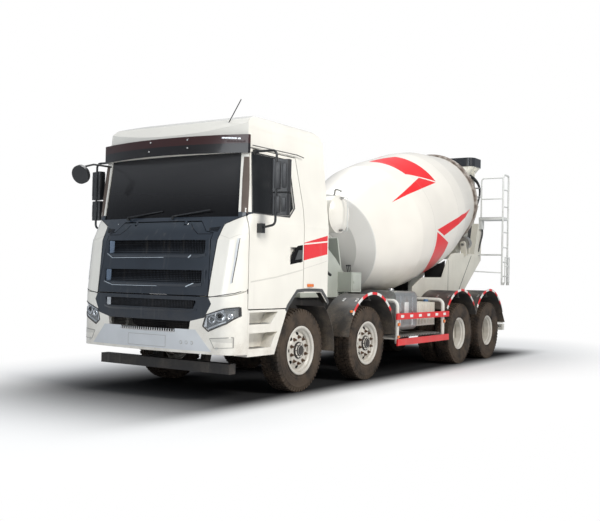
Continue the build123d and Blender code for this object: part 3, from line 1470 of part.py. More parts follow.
with BuildPart() as jack_barrel:
    with Locations((jack_foot_x, pivot_y, jack_foot_z)):
        Cylinder(24, 36, rotation=(90, 0, 0))
    with BuildSketch(jack_plane):
        Circle(17)
    extrude(amount=60)
    with BuildSketch(jack_plane.offset(46)):
        Circle(barrel_radius)
    extrude(amount=barrel_length - 46)
    with BuildSketch(jack_plane.offset(70)):
        Circle(rod_radius + 6 + pin_gap)
    extrude(amount=barrel_length, mode=Mode.SUBTRACT)
    with Locations((jack_foot_x, pivot_y, jack_foot_z)):
        Cylinder(jack_pin + pin_gap, 60, rotation=(90, 0, 0), mode=Mode.SUBTRACT)
jack_barrel.part.label = "jack_barrel"
export_step(jack_barrel.part, "parts/jack_barrel.step")

# The rod's eye is bored wide and off centre, because its stroke follows the trough only in proportion
jack_along = jack_run.normalized()
rod_eye = Vector(*jack_eye) - jack_along * 2.5 + jack_along.rotate(Axis.Y, 90) * 1.7
rod_eye_radius = 14.5
with BuildPart() as jack_rod:
    with BuildSketch(jack_plane.offset(190)):
        Circle(rod_radius + 6)
    extrude(amount=40)
    with BuildSketch(jack_plane.offset(190)):
        Circle(rod_radius)
    extrude(amount=jack_run.length - 190 - 10)
    with Locations(rod_eye):
        Cylinder(26, 26, rotation=(90, 0, 0))
        Cylinder(rod_eye_radius, 60, rotation=(90, 0, 0), mode=Mode.SUBTRACT)
jack_rod.part.label = "jack_rod"
export_step(jack_rod.part, "parts/jack_rod.step")

# Mudguards: thin curved sheets with lips, on tubes from the frame
guard_wall = 5
guard_1_radius = 700
guard_2_radius = 700
guard_3_radius = 745
guard_inner_x = 780
guard_outer_x = 1245
tandem_inner_x = 660
tandem_outer_x = 1250
tube_bar = 12
bar_z = rail_top + 130


def guard_point(y, radius, angle):
    """Point of a wheel's guard circle in side view, the angle from level rear upwards."""
    turn = math.radians(angle)
    return (y + radius * math.cos(turn), tyre_radius + radius * math.sin(turn))


guard_arcs = (  # axle, radius, rear angle, front angle, inner x, outer x
    (axle1_y, guard_1_radius, -4, 52, guard_inner_x, guard_outer_x - 20),
    (axle2_y, guard_2_radius, 8, 170, guard_inner_x, guard_outer_x),
    (axle3_y, guard_3_radius, 25, 145, tandem_inner_x, tandem_outer_x),
    (axle4_y, guard_3_radius, 25, 155, tandem_inner_x, tandem_outer_x),
)
valley_z = tyre_radius + math.sqrt(guard_3_radius**2 - (wheelbase_34 / 2) ** 2)
valley_y = (axle3_y + axle4_y) / 2
lip_height = 38
with BuildPart() as mudguards:
    for y, radius, rear, front, inner_x, outer_x in guard_arcs:
        with BuildSketch(Plane.YZ.offset(inner_x)):
            with BuildLine():
                middle = (rear + front) / 2
                ThreePointArc(*[guard_point(y, radius, a) for a in (rear, middle, front)])
                Line(guard_point(y, radius, front), guard_point(y, radius + guard_wall, front))
                ThreePointArc(
                    *[guard_point(y, radius + guard_wall, a) for a in (front, middle, rear)]
                )
                Line(guard_point(y, radius + guard_wall, rear), guard_point(y, radius, rear))
            make_face()
        extrude(amount=outer_x - inner_x)
    for y, radius, rear, front in (
        (axle2_y, guard_2_radius, 35, 145), (axle3_y, guard_3_radius, 25, 145),
        (axle4_y, guard_3_radius, 25, 155),
    ):
        with BuildSketch(Plane.YZ.offset(guard_outer_x - guard_wall)):
            with BuildLine():
                ThreePointArc(*[guard_point(y, radius, a) for a in (rear, 90, front)])
                Line(guard_point(y, radius, front), guard_point(y, radius + lip_height, front))
                ThreePointArc(
                    *[guard_point(y, radius + lip_height, a) for a in (front, 90, rear)]
                )
                Line(guard_point(y, radius + lip_height, rear), guard_point(y, radius, rear))
            make_face()
        extrude(amount=guard_wall)
    # The tandem's rear flap
    flap_y, flap_z = guard_point(axle4_y, guard_3_radius, 25)
    with BuildSketch(Plane.YZ.offset(tandem_inner_x)):
        Polygon(
            (flap_y - 1, flap_z + 3), (flap_y + 4, flap_z + 5), (axle4_y + 820, 660),
            (axle4_y + 815, 658), align=None,
        )
    extrude(amount=tandem_outer_x - tandem_inner_x)
    # Keep each tandem arc on its own side of the valley between them
    with Locations((1000, valley_y, valley_z - 180)):
        Box(900, 120, 356, mode=Mode.SUBTRACT)
    with BuildSketch(Plane.YZ.offset(rail_x + seat_gap)):
        with Locations(guard_point(axle1_y, guard_1_radius + guard_wall + tube_bar - 2, 32)):
            Circle(tube_bar)
        with Locations((axle2_y, bar_z)):
            Circle(tube_bar)
    extrude(amount=760)
    with BuildSketch(Plane.YZ.offset(stand_x + seat_gap)):
        with Locations((axle3_y, bar_z + 10), (axle4_y, bar_z + 10)):
            Circle(tube_bar)
    extrude(amount=590)
    for y, radius, inner_x, outer_x in (
        (axle2_y, guard_2_radius, guard_inner_x, guard_outer_x),
        (axle3_y, guard_3_radius, tandem_inner_x, tandem_outer_x),
        (axle4_y, guard_3_radius, tandem_inner_x, tandem_outer_x),
    ):
        top = tyre_radius + radius + 2
        for x in (inner_x + 60, outer_x - 80):
            with Locations((x, y, (bar_z + top) / 2)):
                Box(8, 24, top - bar_z)
    mirror(about=Plane.YZ)
mudguards.part.label = "mudguards"
export_step(mudguards.part, "parts/mudguards.step")

# Fuel tank on the left, boxes on both sides, hung on the rails' webs
hang_x = rail_x + seat_gap
with BuildPart() as fuel_tank:
    with BuildSketch(facing_front(axle1_y + 3450)):
        with Locations((800, 965)):
            RectangleRounded(640, 610, 90)
    extrude(amount=750)
    for y in (axle1_y + 2860, axle1_y + 3290):
        with Locations(((hang_x + 520) / 2, y, 860)):
            Box(520 - hang_x, 70, 240)
    with Locations((900, axle1_y + 2950, 1280)):
        Cylinder(48, 40)
fuel_tank.part.label = "fuel_tank"
export_step(fuel_tank.part, "parts/fuel_tank.step")

with BuildPart() as side_boxes:
    for flip, front, rear, x_in, x_out, low, high in (
        (1, 3510, 4200, 500, 1090, 710, 1085),
        (-1, 3510, 4200, 500, 1090, 710, 1085),
        (-1, 2700, 3430, 500, 1110, 660, 1085),
    ):
        with Locations((flip * (x_in + x_out) / 2, axle1_y + (front + rear) / 2, (low + high) / 2)):
            Box(x_out - x_in, rear - front, high - low)
        for y in (front + 120, rear - 120):
            with Locations((flip * (hang_x + x_in + 10) / 2, axle1_y + y, 860)):
                Box(x_in + 10 - hang_x, 70, 200)
side_boxes.part.label = "side_boxes"
export_step(side_boxes.part, "parts/side_boxes.step")

# Side guards: bent posts, their cross tubes, gratings, the rear bar and its lamps
post_x = 1200
guard_tube = 30
guard_stations = (axle1_y + 2600, axle1_y + 4290)
side_rails = ((845, 940, axle1_y + 2500, axle1_y + 4440), (450, 550, axle1_y + 2530, axle1_y + 4440))
with BuildPart() as side_guards:
    for y in guard_stations:
        with BuildLine() as post_line:
            FilletPolyline((post_x, y, 480), (post_x, y, 1128), (hang_x, y, 1128), radius=90)
        with BuildSketch(post_line.line ^ 0):
            Circle(guard_tube)
        sweep()
        with BuildLine() as tray_line:
            FilletPolyline(
                (post_x, y, 548), (rail_x - 40, y, 548), (rail_x - 40, y, rail_low - seat_gap), radius=60
            )
        with BuildSketch(tray_line.line ^ 0):
            Circle(guard_tube / 2)
        sweep()
    with Locations(((750 + 1165) / 2, (guard_stations[0] + guard_stations[1]) / 2, 572)):
        Box(1165 - 750, guard_stations[1] - guard_stations[0], 22)
    mirror(about=Plane.YZ)
    bar_y = rail_rear_y - 70
    with Locations((0, bar_y, 560)):
        Box(2400, 100, 120)
    for x in (rail_x - 45, 45 - rail_x):
        with Locations((x, bar_y, (610 + rail_low - seat_gap) / 2)):
            Box(80, 80, rail_low - seat_gap - 610)
    for x in (1000, -1000):
        with Locations((x, bar_y + 65, 700)):
            Box(330, 60, 130)
        with Locations((x, bar_y + 20, 640)):
            Box(60, 60, 60)
side_guards.part.label = "side_guards"
export_step(side_guards.part, "parts/side_guards.step")

with BuildPart() as side_guard_rails:
    for low, high, front, rear in side_rails:
        with Locations((post_x + guard_tube + seat_gap + 12, (front + rear) / 2, (low + high) / 2)):
            Box(24, rear - front, high - low)
    mirror(about=Plane.YZ)
side_guard_rails.part.label = "side_guard_rails"
export_step(side_guard_rails.part, "parts/side_guard_rails.step")

# Ladder with its platform and handrails, and the fold-down lower ladder
ladder_high = 3600
rung_heights = (1560, 1844, 2140, 2446)
hinge_out = 1120
hinge_z = 1400
fold_x = 2 * hinge_out - ladder_x
fold_shift = 32
with BuildPart() as ladder:
    with BuildLine() as rail_line:
        FilletPolyline(
            (ladder_x, ladder_front_y, ladder_low), (ladder_x, ladder_front_y, ladder_high),
            (ladder_x, ladder_rear_y, ladder_high), (ladder_x, ladder_rear_y, ladder_low),
            radius=60,
        )
    with BuildSketch(rail_line.line ^ 0):
        Circle(ladder_tube)
    sweep()
    ladder_span = ladder_rear_y - ladder_front_y
    for z in (*rung_heights, 2960, 3300):
        with BuildSketch(facing_front(ladder_rear_y)):
            with Locations((ladder_x, z)):
                Circle(13)
        extrude(amount=ladder_span)
    # Platform on brackets from the rear stand, with its inner handrail
    with Locations(((stand_x + seat_gap + ladder_x) / 2, axle1_y + 7550, platform_z)):
        Box(ladder_x - stand_x - seat_gap, 400, 50)
    with Locations((stand_x + seat_gap + 30, axle1_y + 7430, platform_z - 110)):
        Box(60, 140, 200)
    with BuildLine() as hand_line:
        FilletPolyline(
            (640, ladder_front_y, platform_z), (640, ladder_front_y, ladder_high - 60),
            (ladder_x, ladder_front_y, ladder_high - 60), radius=60,
        )
    with BuildSketch(hand_line.line ^ 0):
        Circle(15)
    sweep()
    with BuildSketch(Plane.YZ.offset(640)):
        with Locations((ladder_front_y, 3120)):
            Circle(13)
    extrude(amount=ladder_x - 640)
    with BuildSketch(Plane.YZ.offset(stand_x + seat_gap)):
        with Locations((ladder_front_y, 1990)):
            Circle(16)
    extrude(amount=ladder_x - stand_x)
    brace_start = Vector(stand_x - 20, axle1_y + 7130, 1650)
    brace_end = Vector(ladder_x, ladder_front_y, 1630)
    with BuildSketch(Plane(brace_start, z_dir=brace_end - brace_start)):
        Circle(11)
    extrude(amount=(brace_end - brace_start).length)
    with Locations((stand_x - 60 + seat_gap, axle1_y + 7130, 1650)):
        Box(120, 120, 120, mode=Mode.SUBTRACT)
    # Hinge lugs and pins of the lower ladder
    for y, inward in ((ladder_front_y, 1), (ladder_rear_y, -1)):
        with Locations(((ladder_x + hinge_out) / 2, y, hinge_z + 10)):
            Box(hinge_out - ladder_x + 36, 10, 56)
        with Locations((hinge_out, y + inward * fold_shift / 2, hinge_z)):
            Cylinder(8, fold_shift + 10, rotation=(90, 0, 0))
ladder.part.label = "ladder"
export_step(ladder.part, "parts/ladder.step")

with BuildPart() as ladder_lower:
    for y in (ladder_front_y + fold_shift, ladder_rear_y - fold_shift):
        with BuildSketch(facing_front(y + 5)):
            Polygon(
                (hinge_out - 14, hinge_z - 14), (hinge_out + 14, hinge_z - 14), (fold_x + 10, hinge_z + 40),
                (fold_x + 10, 1950), (fold_x - 10, 1950), (fold_x - 10, hinge_z + 50),
                (hinge_out - 14, hinge_z + 14), align=None,
            )
        extrude(amount=10)
        with Locations((hinge_out, y, hinge_z)):
            Cylinder(8 + pin_gap, 30, rotation=(90, 0, 0), mode=Mode.SUBTRACT)
    for z in (1560, 1760, 1930):
        with BuildSketch(facing_front(ladder_rear_y - fold_shift)):
            with Locations((fold_x, z)):
                Circle(10)
        extrude(amount=ladder_span - 2 * fold_shift)
ladder_lower.part.label = "ladder_lower"
export_step(ladder_lower.part, "parts/ladder_lower.step")
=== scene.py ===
# %% [markdown]
# # A concrete mixer truck, dressed for a picture
# The frame, cab, drum, stands and wheels come ready made from the CAD model, in metres, with
# each node's place already in its mesh. This lesson gives them their finishes and adds what is
# too fine for the CAD: tyre tread, nuts, lamps, meshes, straps, seams and hoses.
# The frame is loaded first, because every later piece is placed against it.

# %% Load the frame
import math
import bpy
import bmesh
from mathutils import Matrix, Vector


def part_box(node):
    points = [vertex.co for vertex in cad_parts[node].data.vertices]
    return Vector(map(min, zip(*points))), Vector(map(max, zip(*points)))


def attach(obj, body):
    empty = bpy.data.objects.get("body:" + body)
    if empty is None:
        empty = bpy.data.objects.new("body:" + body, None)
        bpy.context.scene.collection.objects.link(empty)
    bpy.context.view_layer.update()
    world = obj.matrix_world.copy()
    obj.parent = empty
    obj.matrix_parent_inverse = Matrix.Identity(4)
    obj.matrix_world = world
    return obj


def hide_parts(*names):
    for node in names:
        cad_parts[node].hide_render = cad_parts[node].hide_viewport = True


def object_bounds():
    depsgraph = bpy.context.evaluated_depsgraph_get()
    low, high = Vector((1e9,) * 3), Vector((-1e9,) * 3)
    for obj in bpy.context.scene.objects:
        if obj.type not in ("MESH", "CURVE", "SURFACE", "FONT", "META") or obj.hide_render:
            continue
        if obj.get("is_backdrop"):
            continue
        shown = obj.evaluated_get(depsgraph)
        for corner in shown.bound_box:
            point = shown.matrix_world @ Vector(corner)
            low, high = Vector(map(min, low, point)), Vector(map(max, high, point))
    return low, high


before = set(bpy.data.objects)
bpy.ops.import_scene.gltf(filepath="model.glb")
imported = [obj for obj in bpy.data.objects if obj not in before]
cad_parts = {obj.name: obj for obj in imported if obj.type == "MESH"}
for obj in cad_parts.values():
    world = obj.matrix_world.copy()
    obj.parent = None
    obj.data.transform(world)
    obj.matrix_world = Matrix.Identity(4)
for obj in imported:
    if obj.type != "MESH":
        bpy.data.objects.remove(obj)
cad_box = [list(corner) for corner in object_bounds()]
print("box", [[round(v, 3) for v in corner] for corner in cad_box])


# %% [markdown]
# ## Places on the truck
# A truck is measured from its first axle. The frame's origin is under the middle of the whole
# vehicle, so one small helper turns "metres behind the first axle" into the frame's y.
# The front of the cab bulges forward in the middle and rounds off at the corners; the second
# helper gives that skin's y for any x and height, so that trim can lie on it. It works on
# sections of the cab: a height, then how far back the skin's corner and middle are, and the
# corner's radius.

# %% Helpers for places
FIRST_AXLE = -3.140


def aft(distance):
    """The frame's y of a place that many metres behind the first axle."""
    return distance + FIRST_AXLE


TYRE_R = 0.530
AXLE_Y = {1: aft(0.0), 2: aft(1.750), 3: aft(5.000), 4: aft(6.350)}
SIDES = (("left", 1), ("right", -1))


def between(value, low, high, at_low, at_high):
    share = (value - low) / (high - low)
    return at_low + (at_high - at_low) * share


CAB_SECTIONS = ((1.08, -1.493, -1.605, 0.230), (1.22, -1.493, -1.605, 0.230),
                (1.87, -1.400, -1.513, 0.180), (2.146, -1.245, -1.370, 0.120),
                (2.90, -1.160, -1.275, 0.110), (3.55, -1.095, -1.210, 0.110))
HALF_CAB = 1.235


def skin(x, z):
    """The frame's y of the cab's front skin."""
    z = min(max(z, CAB_SECTIONS[0][0]), CAB_SECTIONS[-1][0])
    for lower, upper in zip(CAB_SECTIONS, CAB_SECTIONS[1:]):
        if z <= upper[0]:
            corner, middle, radius = (between(z, lower[0], upper[0], lower[i], upper[i])
                                      for i in (1, 2, 3))
            break
    x = abs(x)
    face = middle + (corner - middle) * (x / HALF_CAB) ** 2
    start = HALF_CAB - radius
    if x > start:
        hub = middle + (corner - middle) * (start / HALF_CAB) ** 2 + radius
        face = max(face, hub - math.sqrt(max(radius ** 2 - (x - start) ** 2, 0.0)))
    return aft(face)


print("skin at the middle of the lid", round(skin(0, 1.6), 3))


# %% [markdown]
# ## The camera
# The photograph looks at the truck's front left corner from a little above the headlamps, with
# a normal lens from about ten metres. A camera could be aimed with a Track To constraint; here
# its matrix is built from its yaw, pitch and roll, which were measured on the photograph.

# %% Camera at the photograph's angle
yaw, pitch, roll = (math.radians(a) for a in (33.40, 1.07, 1.26))
ahead = Vector((-math.sin(yaw) * math.cos(pitch), math.cos(yaw) * math.cos(pitch), math.sin(pitch)))
level = Vector((math.cos(yaw), math.sin(yaw), 0))
above = level.cross(ahead)
right = level * math.cos(roll) + above * math.sin(roll)
upward = above * math.cos(roll) - level * math.sin(roll)
camera = bpy.data.objects.new("camera", bpy.data.cameras.new("camera"))
bpy.context.scene.collection.objects.link(camera)
camera.data.lens = 51.0
camera.data.sensor_width = 36.0
camera.data.sensor_fit = "HORIZONTAL"
camera.data.clip_end = 200
turn = Matrix((right, upward, -ahead)).transposed().to_4x4()
camera.matrix_world = Matrix.Translation((7.09, -12.20, 1.47)) @ turn
bpy.context.scene.camera = camera
print("camera", [round(v, 2) for v in camera.location])


# %% [markdown]
# ## Writing finishes as sums
# A procedural finish is a net of nodes. Placing each node by hand hides the idea, so a socket is
# wrapped in a small class: adding, subtracting, multiplying or comparing wires makes the Math
# node for it. One method makes any other node from its type, its settings and its sockets.

# %% A wire and a finish
class Wire:
    """A node's socket; sums written on it add Math nodes."""

    def __init__(self, finish, socket):
        self.finish, self.socket = finish, socket

    def math(self, operation, *others):
        values = dict(enumerate((self, *others)))
        return self.finish.node("Math", {"operation": operation}, values)

    def __add__(self, other): return self.math("ADD", other)
    def __radd__(self, other): return self.math("ADD", other)
    def __sub__(self, other): return self.math("SUBTRACT", other)
    def __rsub__(self, other):
        return self.finish.node("Math", {"operation": "SUBTRACT"}, {0: other, 1: self})

    def __mul__(self, other): return self.math("MULTIPLY", other)
    def __rmul__(self, other): return self.math("MULTIPLY", other)
    def __truediv__(self, other): return self.math("DIVIDE", other)
    def __lt__(self, other): return self.math("LESS_THAN", other)
    def __gt__(self, other): return self.math("GREATER_THAN", other)
    def __abs__(self): return self.math("ABSOLUTE")

    def rise(self, low, high):
        """0 below low, 1 above high, and smooth between them."""
        return self.finish.node("MapRange", {"interpolation_type": "SMOOTHSTEP"},
                                {"Value": self, "From Min": low, "From Max": high})


class Finish:
    """A material under construction, on the piece's Object coordinates."""

    def __init__(self, name):
        self.material = bpy.data.materials.new(name)
        self.material.use_nodes = True
        self.tree = self.material.node_tree
        self.tree.nodes.clear()
        self.place = self.node("TexCoord", out="Object")
        split = [self.node("SeparateXYZ", values={0: self.place}, out=i) for i in range(3)]
        self.x, self.y, self.z = split

    def node(self, kind, settings=None, values=None, out=0):
        made = self.tree.nodes.new("ShaderNode" + kind)
        for name, value in (settings or {}).items():
            if name == "stops":
                ramp = made.color_ramp
                while len(ramp.elements) < len(value):
                    ramp.elements.new(1.0)
                for stop, (place, colour) in zip(ramp.elements, value):
                    stop.position = place
                    stop.color = (*colour, 1.0)
            else:
                setattr(made, name, value)
        for key, value in (values or {}).items():
            if isinstance(value, Wire):
                self.tree.links.new(value.socket, made.inputs[key])
            elif value is not None:
                socket = made.inputs[key]
                wide = hasattr(value, "__len__") and len(value) == 3 and socket.type == "RGBA"
                socket.default_value = (*value, 1.0) if wide else value
        return Wire(self, made.outputs[out]) if made.outputs else None

    def noise(self, scale, detail=3.0, stretch=(1, 1, 1)):
        place = self.place
        if stretch != (1, 1, 1):
            place = self.node("Mapping", values={"Vector": self.place, "Scale": stretch})
        return self.node("TexNoise", values={"Vector": place, "Scale": scale, "Detail": detail})

    def mix(self, mask, first, second):
        return self.node("Mix", {"data_type": "RGBA"}, {0: mask, 6: first, 7: second}, out=2)

    def bump(self, height, strength=0.3, distance=0.002):
        return self.node("Bump", values={"Height": height, "Strength": strength,
                                         "Distance": distance})

    def surface(self, **sockets):
        names = {"colour": "Base Color", "roughness": "Roughness", "metallic": "Metallic",
                 "coat": "Coat Weight", "alpha": "Alpha", "normal": "Normal", "glow": "Emission Color",
                 "glow_strength": "Emission Strength", "coat_roughness": "Coat Roughness",
                 "specular": "Specular IOR Level"}
        made = self.node("BsdfPrincipled", values={names[k]: v for k, v in sockets.items()})
        self.node("OutputMaterial", values={0: made})
        return self.material


print("finishes are written as sums")


# %% [markdown]
# ## Dirt first
# A work truck is never clean: brown dust climbs from the wheels, thin grey streaks run down from
# every edge, and the paint itself is never one flat colour. One helper lays this over any
# colour. It reads only height and noise, so it stays put when the camera moves.

# %% Shared dust and wear
DUST, STREAK_GREY, RUST = (0.30, 0.235, 0.17), (0.42, 0.38, 0.32), (0.20, 0.085, 0.04)


def weather(finish, colour, low=0.35, high=1.5, amount=0.55):
    """A colour with dust that fades out between two heights, and streaks."""
    patches = finish.noise(5.0, 5.0)
    fine = finish.noise(60.0, 4.0)
    streaks = finish.noise(14.0, 3.0, stretch=(1, 1, 0.10))
    fall = 1.0 - finish.z.rise(low, high)
    mask = fall * (0.25 + 0.75 * patches.rise(0.35, 0.68)) * (0.55 + 0.45 * fine.rise(0.3, 0.7))
    dusted = finish.mix(mask * amount, colour, DUST)
    return finish.mix(streaks.rise(0.56, 0.82) * 0.10, dusted, STREAK_GREY)


def tinted(finish, colour, spread=0.05, scale=1.7):
    """The same colour drifting a little lighter and darker in broad patches."""
    dark = tuple(c * (1 - spread) for c in colour)
    light = tuple(min(c * (1 + spread * 0.4), 1.0) for c in colour)
    return finish.mix(finish.noise(scale, 2.0).rise(0.3, 0.7), dark, light)


print("dust colour", DUST)


# %% [markdown]
# ## The cab's paint
# Cab paint is a warm white with a clear coat. The grain of the coat, called orange peel, is a very
# low bump; the dust sits under the waistline. On the sides, behind each door, a red band with a
# thin red line over it runs to the cab's rear edge. Each is a mask between two sloping lines in y
# and z. Round the lid the nose is painted in the lid's slate, up to a line that flares out at the
# top, and the hollow of the wheel arch is painted black as painted shade.

# %% Cab paint with its side band
CREAM = (0.80, 0.775, 0.71)
RED = (0.72, 0.022, 0.030)
SLATE = (0.021, 0.029, 0.041)


def cab_paint(name, band=False, low=0.45, high=1.35, amount=0.34, shade=1.0):
    f = Finish(name)
    base = tinted(f, tuple(c * shade for c in CREAM))
    if band:
        # The red band and its line behind the door, on the side walls only.
        along = f.y - aft(-0.09)
        run = (f.y > aft(-0.092)) * (f.y < aft(0.47)) * (abs(f.x) > 1.10)
        lower = (f.z > 1.672 + along * 0.17) * (f.z < 1.868 + along * 0.10)
        upper = (f.z > 1.886 + along * 0.10) * (f.z < 1.895 + along * 0.21)
        base = f.mix(run * (lower + upper), base, RED)
        # The slate nose round the lid, then the inside of the wheel arch, painted black as painted shade.
        edge = (0.887 + 0.0747 * (f.z - 1.232)).math("MAXIMUM", 0.951 + 2.25 * (f.z - 2.057))
        nose = (f.y < aft(-1.18)) * (f.z > 1.21) * (f.z < 2.20) * (abs(f.x) < edge)
        base = f.mix(nose, base, SLATE)
        arch = (abs(f.x) < 1.226) * (f.z < 1.305) * (f.y > aft(-0.50)) * (f.y < aft(0.54))
        base = f.mix(arch, base, (0.012, 0.012, 0.012))
    peel = f.noise(220.0, 2.0)
    return f.surface(colour=weather(f, base, low, high, amount), coat=0.5, coat_roughness=0.08,
                     roughness=0.30 + 0.22 * f.noise(9.0).rise(0.45, 0.8),
                     normal=f.bump(peel, 0.05, 0.001))


cab_white = cab_paint("cab white paint", band=True)
trim_white = cab_paint("lower cab white paint", low=0.35, high=1.25, amount=0.55)
# A darker copy of the cab paint: painted shade in creases, folds and the bumper's corner hollows.
shade_white = cab_paint("shaded cab paint", low=0.30, high=1.05, amount=0.50, shade=0.80)
# A much darker copy for lines on the bumper: the plate's outline and rings, and painted shade round the
# corner recesses.
line_and_shade_grey = cab_paint("bumper line paint and painted shade", low=0.30, high=1.05, amount=0.25, shade=0.36)
print("cab paints", cab_white.name, trim_white.name)


# %% [markdown]
# ## The drum's paint
# The drum's livery is two red swooshes that repeat every half turn, on a cream drum with a light
# grey head. They are worked out in the drum's own terms: the distance along its tilted axis and
# the angle round it. Halving the turn is done by flipping both cross coordinates where x is
# negative. Old concrete and rust gather at the ring and at the mouth.

# %% Drum paint with its bands
DRUM_Y, DRUM_Z, TILT = aft(6.420), 3.020, math.radians(15)


def drum_paint():
    f = Finish("drum paint")
    dy, dz = f.y - DRUM_Y, f.z - DRUM_Z
    along = dy * math.cos(TILT) + dz * math.sin(TILT)
    up = dz * math.cos(TILT) - dy * math.sin(TILT)
    side = (f.x > 0.0) * 2.0 - 1.0
    angle = (up * side).math("ARCTAN2", abs(f.x)) * (180 / math.pi)
    base = tinted(f, (0.80, 0.765, 0.70), 0.06, 1.2)
    head = along < -3.985
    base = f.mix(head, base, (0.68, 0.67, 0.64))
    # The upper swoosh: a strap over the shoulder, then a flag that points forward.
    top_end = 88.0 - 2.0 * ((along + 2.5) * (along + 2.5)) * 9.0
    upper_line = 33.5 - (along + 1.84) * 25.0
    strap = (along > -2.50) * (along < -1.82) * (angle < top_end) * (angle > upper_line + 1.4)
    flag_low = 33.0 + 0.6 * abs(along + 2.6)
    flag = (angle > flag_low) * (angle < upper_line - 0.3)
    flag = flag * (angle < 33.2 + (along + 3.35) * 9.2)
    flag = flag * ((along > -2.49) + (angle < 41.3)).math("MINIMUM", 1.0) * (along < -1.85)
    # The lower swoosh: a strap that narrows downwards, and a tip that points back.
    lower_line = -6.0 - (along + 2.35) * 27.5
    tail = 1.0 - (-1.0 * angle - 30.0).rise(0.0, 62.0)
    narrow = -2.35 + (1.0 - tail) * 0.55
    low_strap = (along > narrow) * (along < -1.74) * (angle < lower_line - 1.4) * (angle > -86.0)
    tip_top = -3.2 - abs(along + 1.24) * 2.2
    tip_low = -4.9 + (along + 0.55) * 6.3
    tip = (along > -2.34) * (along < -0.56) * (angle < tip_top)
    tip = tip * (angle > tip_low.math("MAXIMUM", lower_line + 0.6))
    red = (strap + flag + low_strap + tip).math("MINIMUM", 1.0)
    faded = f.mix(f.noise(3.0, 4.0).rise(0.4, 0.75) * 0.25, (0.74, 0.010, 0.014), (0.78, 0.06, 0.06))
    base = f.mix(red, base, faded)
    # Two welded seams, the greasy ring, and old concrete at the mouth and underneath.
    seam = abs(abs(along + 1.915) - 0.515) < 0.004
    base = f.mix(seam * 0.35, base, (0.35, 0.33, 0.30))
    rough = f.noise(7.0, 6.0)
    ring = (1.0 - abs(along + 0.02).rise(0.055, 0.16)) * (0.45 + 0.55 * rough.rise(0.35, 0.6))
    base = f.mix(ring * 0.9, base, (0.115, 0.075, 0.055))
    mouth = (along + 0.35 * rough).rise(0.45, 0.95) * rough.rise(0.3, 0.62)
    base = f.mix(mouth * 0.75, base, (0.34, 0.32, 0.29))
    splash = f.noise(26.0, 6.0).rise(0.66, 0.80) * along.rise(-1.4, 0.3)
    base = f.mix(splash * 0.5, base, (0.42, 0.40, 0.37))
    under = (1.0 - up.rise(-1.15, -0.35)) * rough.rise(0.3, 0.75)
    base = f.mix(under * 0.30, base, (0.45, 0.41, 0.35))
    return f.surface(colour=base, coat=0.35 * (1.0 - ring) * (1.0 - red), coat_roughness=0.12,
                     roughness=0.34 + 0.3 * ring + 0.25 * splash,
                     normal=f.bump(f.noise(3.2, 2.0) + 0.25 * splash, 0.12, 0.006))


drum_cream = drum_paint()
print("drum paint", len(drum_cream.node_tree.nodes), "nodes")


# %% [markdown]
# ## Painted steel, castings and bare metal
# Stands, ladders and boxes are brushed or sprayed with a thinner, flatter paint that chips to
# rust. The chips are where a fine noise and a coarse noise are both high. Frame, axles and engine
# share the same recipe with a darker coat and more dust; bare metals add scratches as bump.

# %% Painted and bare metals
def worn_paint(name, colour, gloss=0.42, chips=0.5, low=0.3, high=1.9, amount=0.5):
    f = Finish(name)
    base = tinted(f, colour, 0.08, 2.3)
    chipped = f.noise(2.6, 3.0).rise(0.5, 0.72) * f.noise(46.0, 5.0).rise(0.60, 0.66) * chips
    base = f.mix(chipped, base, RUST)
    grain = f.noise(140.0, 3.0)
    return f.surface(colour=weather(f, base, low, high, amount), roughness=gloss + 0.3 * chipped,
                     coat=0.12, normal=f.bump(grain - chipped, 0.10, 0.0015))


def bare_metal(name, colour, rough, rust=0.25):
    f = Finish(name)
    scratches = f.noise(90.0, 3.0, stretch=(1, 0.08, 1))
    rusted = f.noise(8.0, 6.0).rise(0.52, 0.70) * rust
    base = f.mix(scratches.rise(0.35, 0.65), tuple(c * 0.86 for c in colour), colour)
    base = f.mix(rusted, base, (0.22, 0.10, 0.05))
    return f.surface(colour=weather(f, base, 0.2, 1.2, 0.45), metallic=0.9 - 0.7 * rusted,
                     roughness=rough + 0.35 * rusted + 0.1 * scratches,
                     normal=f.bump(scratches, 0.12, 0.001))


# A cool grey used as painted shade on the bumper's middle and in the vane slits.
painted_shade_grey = worn_paint("bumper middle and slit painted shade", (0.60, 0.62, 0.64), 0.35, 0.0, 0.30, 1.05, 0.15)
stand_green = worn_paint("grey green stand paint", (0.46, 0.49, 0.44))
stand_cream = worn_paint("cream stand paint", (0.70, 0.68, 0.60), chips=0.35)
rail_white = worn_paint("white rail paint", (0.66, 0.67, 0.65), chips=0.7)
# Frame black also serves as painted shade on the rear stand's dark plates under the drum.
frame_black_and_shade = worn_paint("frame black paint and painted shade", (0.014, 0.014, 0.015), 0.6, 0.4, 0.2, 1.6, 0.14)
band_black = worn_paint("hopper band paint", (0.022, 0.025, 0.030), 0.28, 0.15, 0.2, 0.6, 0.1)
cast_iron = worn_paint("oily castings", (0.055, 0.050, 0.046), 0.55, 0.7, 0.2, 1.3, 0.55)
nut_steel = bare_metal("rusty wheel nuts", (0.16, 0.105, 0.075), 0.45, rust=0.55)
plain_steel = bare_metal("plain steel", (0.50, 0.50, 0.49), 0.32)
bright_steel = bare_metal("bright fittings", (0.75, 0.75, 0.74), 0.18, rust=0.05)
galvanised = bare_metal("galvanised steel", (0.46, 0.47, 0.47), 0.42, rust=0.35)
print("metals", plain_steel.name, galvanised.name)


# %% [markdown]
# ## Side rails, guard lips and the holed walkway
# The rails between the axles are bright red, and the guards' lips carry red and white stripes
# that follow the wheel's circle. The stripes are the angle round the nearest axle, in degrees,
# wrapped with the Fraction operation. The first guard, beside the cab, has none. The walkway's
# holes are cells of y and x with a dark disc in each, painted shade in place of an open hole.

# %% Striped lips, red rails, walkway
STRIPES_FROM, STRIPES_TO, STRIPE_PITCH = 40.0, 144.0, 23.0


